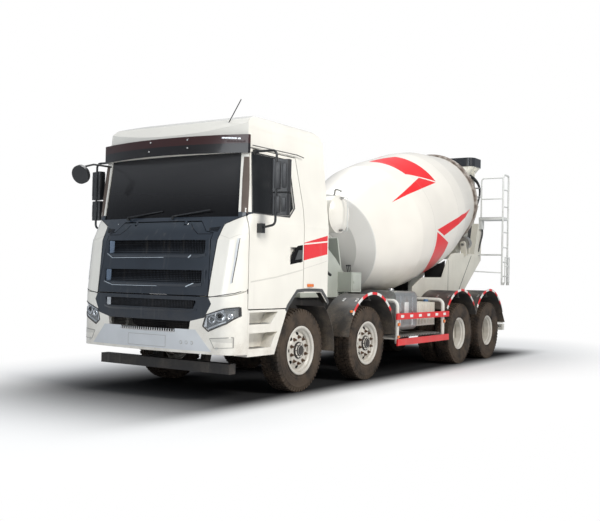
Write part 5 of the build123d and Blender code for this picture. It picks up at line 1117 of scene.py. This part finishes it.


# %% [markdown]
# ## Corner vanes, lip and seams of the cab
# Beside the lid stand white corner vanes, each with a tall slit that lets air past the mirror.
# The slit is a strip in a cool white, narrower below, with a grey outer edge; both are painted shade. The
# panels' joints are drawn as thin lines on the skin, and a long crease rises along the door's lower half,
# drawn in darker paint as painted shade.

# %% Vane slits, panel lines and crease
# The slit and its outer edge are painted shade: a cool white strip and a grey line.
slit = skin_route([(1.180, 1.890), (1.170, 1.660)], 0.018, 0.003)
slit += skin_route([(1.170, 1.662), (1.152, 1.372)], 0.011, 0.003)
piece("corner_vane_slits", both(slit), painted_shade_grey, "cab")
slit_shade_edges = skin_route([(1.191, 1.888), (1.181, 1.660), (1.160, 1.380)], 0.004, 0.0035)
piece("corner_slit_shade_edges", both(slit_shade_edges), grey_trim_and_shade_edge, "cab")
panel = skin_route([(0.890, 1.215), (0.897, 1.400), (0.908, 1.600), (0.922, 1.800), (0.936, 1.930),
                    (0.945, 2.030), (0.962, 2.062), (1.060, 2.108), (1.200, 2.166)], 0.007, 0.002)
panel += skin_route([(0.890, 1.208), (1.074, 1.238), (1.189, 1.261), (1.232, 1.286)], 0.007, 0.002)
piece("cab_panel_lines", both(panel), mesh_and_shade_black, "cab")
# The folds are drawn in darker paint as painted shade.
fold = skin_route([(0.945, 1.928), (1.080, 1.885), (1.181, 1.933), (1.231, 1.944)], 0.005, 0.0012)
piece("corner_vane_folds", both(fold), shade_white, "cab")
notches = block((1.229, aft(-1.262), 1.258), (1.2365, aft(-1.247), 1.312), 0.002)
piece("corner_notches", both([notches]), mesh_and_shade_black, "cab")


def side_band(points, x, widen, thick):
    """A band on the side wall: an edge through (y, z) points, widened, then made thick in x."""
    shape = bmesh.new()
    verts = [shape.verts.new((x, aft(y), z)) for y, z in points]
    edges = [shape.edges.new((a, b)) for a, b in zip(verts, verts[1:])]
    widen(shape, new_corners(bmesh.ops.extrude_edge_only(shape, edges=edges)))
    lifted = bmesh.ops.extrude_face_region(shape, geom=shape.faces[:])
    bmesh.ops.translate(shape, vec=(thick, 0, 0), verts=new_corners(lifted))
    return outward(shape)


def side_line(points, wide, out):
    """A ribbon of even height that stands out from the cab's side wall."""
    def widen(shape, corners):
        bmesh.ops.translate(shape, vec=(0, 0, wide), verts=corners)
    deep = 0.002
    return side_band(points, HALF_CAB - deep, widen, deep + out)


# The door and side creases are drawn in darker paint as painted shade.
for side, sign in SIDES:
    crease = side_line([(-1.20, 1.395), (-0.70, 1.455), (-0.115, 1.555)], 0.006, 0.0020)
    under = side_line([(-1.20, 1.385), (-0.70, 1.445), (-0.115, 1.545)], 0.009, 0.0012)
    piece(f"door_crease_{side}", [on_side(crease, sign), on_side(under, sign)], shade_white,
          f"{side}_door")
rear_crease = side_line([(-0.085, 1.565), (0.30, 1.640), (0.46, 1.675)], 0.007, 0.0018)
piece("cab_side_crease", both([rear_crease]), shade_white, "cab")


# %% [markdown]
# ## The grey lip over the front wheel
# A soft grey lip follows the wheel arch. Its inner edge is the arch's own outline; extruding
# that edge and scaling the new edge about the wheel's centre gives a band of even width, and a
# bevel rounds it.

# %% Arch lip and side marker
ARCH = ((-0.452, 1.03), (-0.41, 1.095), (-0.222, 1.266), (-0.05, 1.278), (0.16, 1.278),
        (0.335, 1.272), (0.476, 1.142), (0.49, 1.10))


def flare(shape, corners):
    """The new edge scaled about the front wheel's centre."""
    bmesh.ops.scale(shape, vec=(1, 1.075, 1.055), verts=corners,
                    space=Matrix.Translation((0, -AXLE_Y[1], -TYRE_R)))


lip = side_band(ARCH, 1.229, flare, 0.0105)
rounded(lip, [e for e in lip.edges if e.calc_face_angle(0) > 0.8], 0.003)
piece("arch_lips", both([lip]), grey_trim_and_shade_edge, "cab")
marker = block((1.232, aft(-0.005), 1.338), (1.258, aft(0.125), 1.376), 0.008, 3)
piece("cab_side_markers", both([marker]), orange_lens, "cab")


# %% [markdown]
# ## Headlamps
# A headlamp is a clear cover over a chrome bowl with a projector lens in a ring, a smaller lamp
# outside it, a light strip below and a dark bezel. The CAD node is the cover's solid form, so it
# becomes nearly clear, and the works are set just inside it, following the skin.

# %% Headlamp works
def on_skin(shape, x, z, deep, angle):
    """The shape turned outwards and set on the skin, or so far behind it."""
    return aimed(shape, angle, (x, skin(x, z) + deep, z))


def lamp_dish(x, z, radius, depth, behind, steps, angle):
    """A dish that looks forward from a place on the skin."""
    profile = [(0.0, depth), (radius * 0.45, depth * 0.95), (radius * 0.85, depth * 0.35),
               (radius, 0.0), (radius + 0.004, 0.0), (radius + 0.004, depth + 0.004),
               (0.0, depth + 0.004)]
    return on_skin(turned(profile, (0, 0, 0), "Y", steps), x, z, behind, angle)


def lens_ball(x, z, radius, behind, angle):
    dome = turned([(0.0, -radius * 0.55), (radius * 0.5, -radius * 0.46), (radius * 0.86, -radius * 0.2),
                   (radius, 0.0), (radius, 0.012), (0.0, 0.012)], (0, 0, 0), "Y", 24)
    return on_skin(dome, x, z, behind, angle)


bowls = [lamp_dish(1.050, 1.002, 0.064, 0.034, 0.010, 32, 16),
         lamp_dish(0.945, 0.955, 0.040, 0.022, 0.012, 24, 8),
         lamp_dish(1.158, 0.996, 0.028, 0.016, 0.014, 20, 40)]
bowls += [skin_strip(0.838, 0.880, 0.872, 0.990, -0.008, -0.006, 0.014, 3),
          skin_line((0.90, 0.850), (1.12, 0.938), 0.014, -0.003),
          skin_line((0.885, 1.000), (1.10, 1.066), 0.016, -0.003)]
rings = []
for x, z, radius, angle in ((1.050, 1.002, 0.052, 16), (0.945, 0.955, 0.032, 8),
                            (1.158, 0.996, 0.022, 40)):
    ring = turned([(radius, 0.0), (radius + 0.006, -0.004), (radius + 0.012, 0.0), (radius + 0.006, 0.006),
                   (radius, 0.0)], (0, 0, 0), "Y", 28)
    rings.append(on_skin(ring, x, z, 0.006, angle))
piece("headlamp_bowls", both(bowls + rings), chrome, "cab")
lenses = [lens_ball(1.050, 1.002, 0.034, 0.010, 16), lens_ball(0.945, 0.955, 0.018, 0.012, 6)]
piece("headlamp_lenses", both(lenses), side_glass, "cab")
bezel = [(0.832, 0.878), (0.871, 1.008), (1.098, 1.083), (1.222, 1.103), (1.224, 1.000), (1.128, 0.916),
         (0.905, 0.822), (0.832, 0.878)]
piece("headlamp_bezels", both(skin_route(bezel, 0.012, 0.004)), black_trim, "cab")


# %% [markdown]
# ## Light strip, bolts and roof trim
# The visor carries a short row of small white lamps at one end and four bolts. A drip line runs
# over each door, and the roof has shallow ribs that catch the light.

# %% Visor lamps and bolts, drip lines, roof ribs
low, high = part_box("sun_visor")
front_of_visor = low.y
print("visor from", [round(v, 3) for v in low], "to", [round(v, 3) for v in high])


def visor_skin(x):
    """The visor's front face: the cab's own curve, set forward, rounded at its ends."""
    half, radius, bow = 1.165, 0.12, 0.105
    x, start = abs(x), half - radius
    face = front_of_visor + bow * (min(x, start) / HALF_CAB) ** 2
    if x > start:
        face += radius - math.sqrt(max(radius ** 2 - (x - start) ** 2, 0.0))
    return face


dashes = []
for i in range(6):
    x, z = 0.905 + 0.040 * i, 3.046 - 0.003 * i
    y = visor_skin(x + 0.015)
    dashes.append(block((x, y - 0.002, z), (x + 0.030, y + 0.020, z + 0.016), 0.003))
piece("visor_lamps", dashes, strip_white, "cab")
bolts = [turned([(0.0, -0.006), (0.007, -0.005), (0.011, 0.0), (0.011, 0.010), (0.0, 0.010)],
                (x, visor_skin(x), z), "Y", 14)
         for x, z in ((-0.163, 3.060), (0.418, 3.058), (-0.186, 2.952), (0.421, 2.962))]
piece("visor_bolts", bolts, bright_steel, "cab")
drip = []
for y0, z0, y1, z1 in ((-1.135, 2.985, -0.20, 2.992), (-0.20, 2.992, -0.05, 2.975)):
    drip.append(rod((1.172, aft(y0), z0), (1.172, aft(y1), z1), 0.006, 10))
piece("door_drip_lines", both(drip), grey_trim_and_shade_edge, "cab")
ribs = []
for x in (-0.56, -0.28, 0.0, 0.28, 0.56):
    crown = 3.450 - 0.064 * x ** 2
    for (y0, z0), (y1, z1) in (((-0.72, 3.420), (-0.40, 3.450)), ((-0.40, 3.450), (0.20, 3.438))):
        ribs.append(rod((x, aft(y0), min(z0, crown)), (x, aft(y1), min(z1, crown)), 0.011, 10))
piece("roof_ribs", ribs, cab_white, "cab")


# %% [markdown]
# ## The bumper's middle
# Under the trim the bumper has a dark air gap with a toothed bright step below it, a shaded
# middle of painted shade with the outline of a blank plate, and a step-like recess in each corner, drawn
# with painted shade.

# %% Step teeth, plate and corner recesses
rail = skin_strip(-0.42, 0.44, 0.788, 0.798, 0.004, 0.004, 0.010)
fins = []
for i in range(24):
    x = -0.404 + 0.036 * i
    y = skin(x, 1.0)
    fins.append(block((x - 0.008, y - 0.007, 0.797), (x + 0.008, y + 0.008, 0.830), 0.002))
piece("bumper_step_teeth", [rail, *fins], bright_steel, "cab", 30)
piece("bumper_step_shade", [skin_strip(-0.42, 0.44, 0.798, 0.834, 0.003, 0.003, 0.008)],
      mesh_and_shade_black, "cab")
gap_mesh = []
for i in range(5):
    z = 0.842 + 0.018 * i
    gap_mesh.append(skin_strip(-0.60, 0.60, z, z + 0.006, -0.034, -0.034, 0.040, 10))
for i in range(58):
    x = -0.60 + 1.2 * (i + 0.5) / 58
    y = skin(x, 1.0)
    gap_mesh.append(block((x - 0.002, y + 0.036, 0.835), (x + 0.002, y + 0.040, 0.925), 0))
piece("bumper_gap_mesh", gap_mesh, mesh_and_shade_black, "cab", 30)
# The bumper's middle is a patch of painted shade.
middle = skin_patch([(-0.954, 0.592), (0.954, 0.592), (0.905, 0.640), (0.730, 0.834), (-0.730, 0.834),
                     (-0.905, 0.640)], 0.0012)
piece("bumper_middle", [middle], painted_shade_grey, "cab", 20)
blank = skin_route([(0.307, 0.745), (-0.290, 0.745), (-0.290, 0.612), (0.307, 0.612), (0.307, 0.745)],
                   0.004, 0.0026)
piece("front_blank_plate", blank, line_and_shade_grey, "cab")
rings = [turned([(0.015, 0.0), (0.018, -0.003), (0.021, 0.0), (0.021, 0.004), (0.015, 0.004), (0.015, 0.0)],
                (x, skin(x, 1.0) - 0.001, 0.680), "Y", 20) for x in (0.532, 0.609, 0.684)]
piece("bumper_rings", rings, line_and_shade_grey, "cab")
# The lines round each corner recess are painted shade.
steps = skin_route([(0.926, 0.741), (1.190, 0.762)], 0.010, 0.003)
steps += skin_route([(1.190, 0.762), (1.189, 0.646), (0.988, 0.634), (0.926, 0.741)], 0.006, 0.003)
piece("bumper_lines", both(steps), line_and_shade_grey, "cab")
# The corner hollow is painted shade.
hollow = skin_patch([(0.940, 0.734), (1.182, 0.752), (1.182, 0.700), (0.955, 0.706)], 0.0012)
piece("bumper_corner_hollows", both([hollow]), shade_white, "cab")
fog = turned([(0.0, -0.012), (0.018, -0.010), (0.022, 0.0), (0.022, 0.006), (0.0, 0.006)],
             (0, 0, 0), "Y", 20)
piece("fog_lamps", both([on_skin(fog, 1.02, 0.632, 0.001, 20)]), lens_clear, "cab")


# %% [markdown]
# ## Door furniture
# Each door has a dark wedge-shaped recess with a grey pull and a lock in it, and a rubber round
# the window. The wedge is a plate cut from its outline; the window rubber is a pipe bent round
# the opening.

# %% Door handles and window rubbers
WINDOW = ((-1.188, 2.196), (-1.124, 2.908), (-0.354, 2.908), (-0.296, 2.31), (-0.424, 2.196),
          (-1.188, 2.196))
WEDGE = ((-0.402, 1.612), (-0.352, 1.735), (-0.290, 1.815), (-0.235, 1.849), (-0.122, 1.866),
         (-0.122, 1.655))
PULL = ((-0.300, 1.672), (-0.225, 1.795), (-0.140, 1.800), (-0.140, 1.690))


def side_plate(outline, low, high, edge=0.0):
    """A plate on the side, cut from (metres behind the first axle, z) points."""
    return plate([(aft(y), z) for y, z in outline], low, high, "X", edge)


for side, sign in SIDES:
    cup = side_plate(WEDGE, 1.2335, 1.2372, 0.001)
    pull = side_plate(PULL, 1.2370, 1.2450, 0.003)
    lock = rod((1.236, aft(-0.150), 1.672), (1.241, aft(-0.150), 1.672), 0.010, 16)
    for name, shape, finish in (("recess", cup, mesh_and_shade_black), ("pull", pull, grey_trim_and_shade_edge),
                                ("lock", lock, black_trim)):
        piece(f"door_{name}_{side}", [on_side(shape, sign)], finish, f"{side}_door")


def wall_x(z):
    """Half the cab's width at a height: straight to the waist, then leaning in."""
    waist, top, half_top = 2.10, 3.11, 1.125
    return HALF_CAB if z < waist else between(z, waist, top, HALF_CAB, half_top)


for side, sign in SIDES:
    route = [(sign * (wall_x(z) + 0.001), aft(y), z) for y, z in WINDOW]
    pipe(f"window_rubber_{side}", route, 0.009, black_trim, f"{side}_door", smooth=False)


# %% [markdown]
# ## Pillars, mirrors and steps
# The strips beside the windscreen show the brown lining behind them. Each mirror head has two
# raised panels on its back and a bright glass on its rear face, both turned with the head. The
# steps in the cab's corners carry treads.

# %% Pillar linings, mirror faces and step treads
pillar = skin_patch([(1.119, 2.202), (1.197, 2.179), (1.178, 2.591), (1.156, 2.846), (1.091, 2.849),
                     (1.096, 2.593)], 0.0015)
piece("pillar_linings", both([pillar]), pillar_brown, "cab")
MIRROR_ARM, MIRROR_TURN = (1.500, aft(-1.010), 0), 18
MIRROR_HEADS = ((2.440, 2.815, 0.225, 0.095), (2.165, 2.420, 0.215, 0.085))
for side, sign in SIDES:
    backs, glasses = [], []
    for low, high, width, depth in MIRROR_HEADS:
        front, rear, edge = -depth / 2, depth / 2, width / 2 - 0.014
        back = block((-width * 0.30, front - 0.014, low + 0.030),
                     (width * 0.02, front + 0.004, high - 0.030), 0.010, 3)
        gather(back, block((width * 0.10, front - 0.010, low + 0.045),
                           (width * 0.34, front + 0.004, high - 0.045), 0.008, 3))
        glass = block((-edge, rear - 0.002, low + 0.018), (edge, rear + 0.0015, high - 0.018), 0)
        for shape, shapes in ((back, backs), (glass, glasses)):
            shapes.append(on_side(aimed(shape, MIRROR_TURN, MIRROR_ARM), sign))
    piece(f"mirror_backs_{side}", backs, black_trim, f"{side}_door")
    piece(f"mirror_glass_{side}", glasses, chrome, f"{side}_door")
treads = []
for z, count in ((0.622, 3), (0.902, 4)):
    for i in range(count):
        y = aft(-1.18 + 0.12 * i)
        treads.append(block((1.10, y, z), (1.205, y + 0.075, z + 0.006), 0.002))
piece("step_treads", both(treads), galvanised, "cab")


# %% [markdown]
# ## Guard stays and small lamps
# Steel clamps hold the plastic guards to their stays; each is a strap with a bolt. An orange lamp
# sits on the front lip of the second guard, on each side post, and orange reflectors follow down
# the side. The rails carry six white reflectors each.

# %% Clamps, reflectors and side lamps
clamps = []
for axle, radius, angles in ((2, 0.700, (62, 118)), (3, 0.745, (60, 120)), (4, 0.745, (60, 120))):
    for angle in angles:
        for x in (0.95, 1.16):
            strap = block((x - 0.016, -0.045, radius + 0.004), (x + 0.016, 0.045, radius + 0.009), 0.002)
            gather(strap, rod((x, 0, radius + 0.006), (x, 0, radius + 0.024), 0.009, 6))
            gather(strap, rod((x, 0.028, radius + 0.006), (x, 0.028, radius + 0.017), 0.007, 6))
            clamps.append(moved(moved(strap, angle=angle - 90), (0, AXLE_Y[axle], TYRE_R)))
piece("guard_clamps", both(clamps), plain_steel, "chassis")
lamps = [block((1.243, aft(1.075), 0.985), (1.268, aft(1.130), 1.020), 0.006, 3),
         block((1.222, aft(2.570), 0.745), (1.246, aft(2.632), 0.795), 0.006, 3),
         block((1.222, aft(4.262), 0.745), (1.246, aft(4.320), 0.795), 0.006, 3),
         block((1.222, aft(2.570), 0.560), (1.242, aft(2.632), 0.600), 0.006, 3)]
piece("side_lamps", both(lamps), orange_lens, "chassis")
reflectors = [block((1.252, aft(2.62 + 0.315 * i), 0.872), (1.259, aft(2.72 + 0.315 * i), 0.914), 0.003)
              for i in range(6)]
piece("rail_reflectors", both(reflectors), reflect_white, "chassis")


# %% [markdown]
# ## Tanks and boxes
# Two straps, a filler cap and a blank label make a fuel tank of a plain rounded box. The cream
# box behind it is ribbed and has a blue cap.

# %% Straps, caps, ribs and labels
low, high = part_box("fuel_tank")
TANK_LOW, TANK_TOP, STRAP = 0.66, 1.27, 0.008
straps = []
for y in (aft(2.86), aft(3.28)):
    ring = bmesh.new()
    bmesh.ops.create_cube(ring, size=1.0)
    bmesh.ops.scale(ring, vec=(high.x - low.x + STRAP, 0.045, TANK_TOP - TANK_LOW + STRAP),
                    verts=ring.verts)
    rounded(ring, [e for e in ring.edges if abs((e.verts[0].co - e.verts[1].co).y) > 0.03], 0.11, 6)
    straps.append(moved(ring, ((low.x + high.x) / 2, y, (TANK_LOW + TANK_TOP) / 2)))
print("fuel tank", [round(v, 3) for v in low], [round(v, 3) for v in high])
piece("tank_straps", straps, bright_steel, "chassis")
label = block((high.x - 0.002, aft(3.00), 0.90), (high.x + 0.003, aft(3.15), 1.10), 0.002)
piece("tank_label", [label], plate_white, "chassis")
ribs = []
for y in (3.58, 3.70, 3.82, 3.94, 4.06):
    for x in (1.098, -1.098):
        ribs.append(block((x - 0.012, aft(y), 0.74), (x + 0.006, aft(y + 0.045), 1.06), 0.005))
ribs.append(block((0.60, aft(3.60), 1.080), (1.05, aft(4.12), 1.094), 0.005))
piece("side_box_ribs", ribs, stand_cream, "chassis")
cap = turned([(0.0, 0.05), (0.036, 0.046), (0.042, 0.03), (0.042, 0.0), (0.0, 0.0)],
             (0.98, aft(4.08), 1.085), "Z", 20)
piece("side_box_cap", [cap], cap_blue, "chassis")
filler = turned([(0.0, 0.045), (0.046, 0.042), (0.052, 0.030), (0.052, 0.0), (0.0, 0.0)],
                (0.90, aft(2.95), 1.268), "Z", 24)
piece("fuel_filler", [filler], plain_steel, "chassis")


# %% [markdown]
# ## The water tank's bands and gauge
# The white tank behind the cab has four raised seams, a bent vent on top and a gauge pipe that
# stands off its left end, with a cock at its top and bottom. A hose feeds the stand below.

# %% Tank seams, vent and gauge pipe
TANK_Y, TANK_Z, TANK_R = aft(1.120), 2.350, 0.262
seams = [turned([(TANK_R - 0.004, -0.016), (TANK_R + 0.006, -0.010), (TANK_R + 0.006, 0.010),
                 (TANK_R - 0.004, 0.016), (TANK_R - 0.004, -0.016)], (x, TANK_Y, TANK_Z), "X", 48)
         for x in (-1.0, -0.45, 0.45, 1.0)]
piece("water_tank_seams", seams, cab_white, "chassis")
GAUGE_Y = TANK_Y - 0.03
vent = [(0.93, TANK_Y, 2.60), (0.93, TANK_Y, 2.685), (0.99, TANK_Y - 0.02, 2.70),
        (1.06, TANK_Y - 0.02, 2.665)]
pipe("water_tank_vent", vent, 0.014, plain_steel, "chassis")
gauge = [(x, GAUGE_Y, z) for x, z in ((1.03, 2.575), (1.15, 2.585), (1.165, 2.56), (1.165, 2.13),
                                      (1.15, 2.105), (1.0, 2.14))]
pipe("water_gauge", gauge, 0.009, rail_white, "chassis", smooth=False)
cocks = [rod((1.045, GAUGE_Y, z), (1.09, GAUGE_Y, z), 0.018, 12) for z in (2.57, 2.125)]
piece("water_gauge_cocks", cocks, plain_steel, "chassis")
feed = [(0.55, TANK_Y + 0.10, 2.12), (0.55, TANK_Y + 0.10, 1.95), (0.56, TANK_Y + 0.16, 1.80),
        (0.56, TANK_Y + 0.30, 1.60), (0.56, TANK_Y + 0.55, 1.50)]
pipe("water_feed_pipe", feed, 0.021, black_trim, "chassis")


# %% [markdown]
# ## Fittings on the front stand
# The front stand carries an oil cooler, a control box with three levers, and hydraulic hoses from
# the pump to the drum's motor. Each hose is a pipe between its fittings.

# %% Hoses, cooler and control box fittings
for i, x in enumerate((0.20, 0.27, 0.34)):
    pipe(f"drive_hose_{i + 1}", [(x, aft(1.62), 1.56), (x, aft(1.66), 1.72), (x - 0.03, aft(1.80), 1.86),
                                 (x - 0.08, aft(1.93), 1.90), (x - 0.13, aft(2.02), 1.88)],
         0.016, black_trim, "chassis")
cooler = [block((-0.36, aft(1.09), 1.62), (0.20, aft(1.17), 1.99), 0.006)]
for i in range(15):
    z = 1.64 + 0.022 * i
    cooler.append(block((-0.34, aft(1.070), z), (0.18, aft(1.092), z + 0.008), 0))
piece("oil_cooler", cooler, cast_iron, "chassis")
box_door = [block((0.708, aft(2.06), 1.275), (0.716, aft(2.30), 1.525), 0.004),
            block((0.714, aft(2.085), 1.38), (0.726, aft(2.105), 1.42), 0.003)]
piece("control_box_door", box_door, stand_green, "chassis")
levers = []
for x in (0.60, 0.63, 0.66):
    knob = turned([(0.0, 0.016), (0.012, 0.010), (0.014, 0.0), (0.010, -0.010), (0.0, -0.014)],
                  (x, aft(2.068), 1.648), "Z", 12)
    levers += [rod((x, aft(2.10), 1.55), (x, aft(2.07), 1.64), 0.006, 8), knob]
piece("control_levers", levers, black_trim, "chassis")


# %% [markdown]
# ## The rear stand
# A dark plate reaches in under the drum from each side plate, painted shade where the opening under the
# drum is dark; a folded seam rises behind it on the plate, and rows of bolts fasten the plates' feet. Black
# hoses run down from the hopper to the chute's valves, held by two clips.

# %% Bulkheads, seams, bolts and hoses of the rear stand
# The dark plates under the drum are painted shade.
shade_plate = plate([(0.17, 1.17), (0.585, 1.17), (0.585, 1.830), (0.50, 1.785), (0.30, 1.708),
                  (0.17, 1.685)], aft(5.740), aft(5.746), "Y")
piece("stand_shade_plate", both([shade_plate]), frame_black_and_shade, "chassis")
seam = side_plate(((6.28, 1.16), (6.98, 1.955), (6.995, 1.955), (6.295, 1.16)), 0.600, 0.6035)
upright = side_plate(((5.86, 1.20), (5.86, 1.84), (5.868, 1.84), (5.868, 1.20)), 0.600, 0.6025)
piece("stand_seams", both([seam, upright]), grey_trim_and_shade_edge, "chassis")
feet = []
for i in range(8):
    y = aft(4.55 + 0.28 * i)
    feet.append(rod((0.598, y, 1.16), (0.612, y, 1.16), 0.014, 6))
piece("stand_bolts", both(feet), plain_steel, "chassis")
HOSE_RUNS = (
    ((0.40, 7.34, 3.62), (0.50, 7.36, 3.56), (0.585, 7.42, 3.40), (0.590, 7.42, 3.20),
     (0.575, 7.33, 3.02), (0.545, 7.22, 2.86), (0.530, 7.13, 2.60), (0.53, 7.06, 2.30),
     (0.52, 7.00, 2.00)),
    ((0.40, 7.40, 3.58), (0.50, 7.42, 3.50), (0.565, 7.47, 3.36), (0.565, 7.46, 3.16),
     (0.550, 7.36, 2.98), (0.520, 7.25, 2.80), (0.505, 7.10, 2.50), (0.50, 7.02, 2.20),
     (0.49, 6.97, 2.00)),
    ((0.60, 7.52, 2.60), (0.64, 7.50, 2.45), (0.62, 7.42, 2.25), (0.60, 7.36, 2.05)),
)
for i, run in enumerate(HOSE_RUNS):
    pipe(f"rear_hose_{i + 1}", [(x, aft(y), z) for x, y, z in run], 0.017, black_trim, "chassis")
clips = [block((0.44, aft(7.40) - 0.03, z), (0.60, aft(7.44), z + 0.02), 0.004) for z in (3.34, 3.16)]
piece("hose_clips", clips, plain_steel, "chassis")


# %% [markdown]
# ## Ladder platform and rear lamps
# The platform's top is a grid of thin bars. The tail carries orange, red and clear lamps in each
# corner, a blank plate between them and four red reflectors.

# %% Platform grid, lamps and plate
grid = []
for i in range(16):
    x = 0.615 + 0.03 * i
    grid.append(block((x, aft(7.36), 2.744), (x + 0.005, aft(7.74), 2.752), 0))
for i in range(9):
    y = aft(7.37 + 0.045 * i)
    grid.append(block((0.605, y, 2.744), (1.085, y + 0.005, 2.752), 0))
piece("platform_grid", grid, galvanised, "chassis")
for colour, places, finish in (("red", (0.955, 1.035), red_lens), ("orange", (0.875,), orange_lens),
                               ("clear", (1.115,), lens_clear)):
    lamps = [turned([(0.0, 0.016), (0.022, 0.013), (0.032, 0.004), (0.034, -0.002), (0.0, -0.002)],
                    (x, aft(7.325), 0.70), "Y", 24) for x in places]
    piece(f"tail_lamps_{colour}", both(lamps), finish, "chassis")
piece("rear_blank_plate", [block((-0.26, aft(7.283), 0.50), (0.26, aft(7.289), 0.625), 0.003)],
      plate_white, "chassis")
dots = [block((x - 0.045, aft(7.279), 0.545), (x + 0.045, aft(7.286), 0.585), 0.003)
        for x in (-0.95, -0.6, 0.6, 0.95)]
piece("rear_reflectors", dots, red_lens, "chassis")


# %% [markdown]
# ## Floor and light
# The picture is a studio cut-out: white all round, with a black soft shadow. The floor is painted dark
# under the truck, a painted shadow that deepens the real one; it stays close to the truck, and the floor
# turns to plain white further out, for the camera only. One broad key lamp stands to the truck's left,
# behind the camera's right shoulder, so the side is bright and the front a shade darker.

# %% Floor, world and lamps
def white_world():
    world = bpy.data.worlds.new("studio")
    bpy.context.scene.world = world
    world.use_nodes = True
    nodes, links = world.node_tree.nodes, world.node_tree.links
    nodes.clear()
    path = nodes.new("ShaderNodeLightPath")
    seen = nodes.new("ShaderNodeMath")
    seen.operation = "MAXIMUM"
    links.new(path.outputs["Is Camera Ray"], seen.inputs[0])
    links.new(path.outputs["Is Transmission Ray"], seen.inputs[1])
    plain, lighting = nodes.new("ShaderNodeBackground"), nodes.new("ShaderNodeBackground")
    plain.inputs["Color"].default_value = (1, 1, 1, 1)
    lighting.inputs["Color"].default_value = (0.86, 0.92, 1.0, 1)
    lighting.inputs["Strength"].default_value = 0.40
    mix, output = nodes.new("ShaderNodeMixShader"), nodes.new("ShaderNodeOutputWorld")
    links.new(seen.outputs[0], mix.inputs[0])
    links.new(lighting.outputs[0], mix.inputs[1])
    links.new(plain.outputs[0], mix.inputs[2])
    links.new(mix.outputs[0], output.inputs[0])


def floor_with_painted_shadow():
    f = Finish("pale floor with painted shadow")
    path = f.node("LightPath", out="Is Camera Ray")
    away = (f.x * f.x * 0.16 + f.y * f.y * 0.034).math("SQRT")
    # Painted shadow: the floor's colour turns near black in a box under the truck.
    painted_shadow = (1.0 - f.x.rise(1.05, 1.75)) * f.x.rise(-3.6, -1.0) * f.y.rise(-7.6, -4.0)
    painted_shadow = painted_shadow * (1.0 - f.y.rise(4.4, 6.4))
    colour = f.mix(painted_shadow, (0.80, 0.80, 0.80), (0.025, 0.025, 0.026))
    matt = f.node("BsdfDiffuse", values={"Color": colour})
    bright = f.node("Emission", values={"Color": (1, 1, 1, 1), "Strength": 1.0})
    fade = away.rise(1.0, 1.9) * path
    mixed = f.node("MixShader", values={0: fade, 1: matt, 2: bright})
    f.node("OutputMaterial", values={0: mixed})
    return f.material


white_world()
ground = bmesh.new()
bmesh.ops.create_circle(ground, cap_ends=True, segments=64, radius=60.0)
mesh = bpy.data.meshes.new("floor")
ground.to_mesh(mesh)
ground.free()
mesh.materials.append(floor_with_painted_shadow())
floor = bpy.data.objects.new("floor", mesh)
bpy.context.scene.collection.objects.link(floor)
floor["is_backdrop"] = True


def lamp(name, place, aim, size, power, colour=(1, 1, 1)):
    data = bpy.data.lights.new(name, "AREA")
    data.shape, data.size, data.energy, data.color = "DISK", size, power, colour
    made = bpy.data.objects.new(name, data)
    bpy.context.scene.collection.objects.link(made)
    made.location = place
    made.rotation_euler = (Vector(aim) - Vector(place)).to_track_quat("-Z", "Y").to_euler()
    return made


lamp("key", (13, -5, 11), (0, -1, 1.5), 5.0, 1950, (1.0, 0.975, 0.93))
lamp("fill", (2, -16, 6), (0, -3, 1.5), 7.0, 620, (0.92, 0.96, 1.0))
lamp("top", (-3, 2, 12), (0, 0, 2.5), 8.0, 780)
bpy.context.scene.view_settings.view_transform = "Standard"
print("stage set")


# %% Boxes and finish
looks_box = [list(corner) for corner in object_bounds()]
for name, corners in (("cad", cad_box), ("looks", looks_box)):
    print(name, [[round(v, 3) for v in corner] for corner in corners])
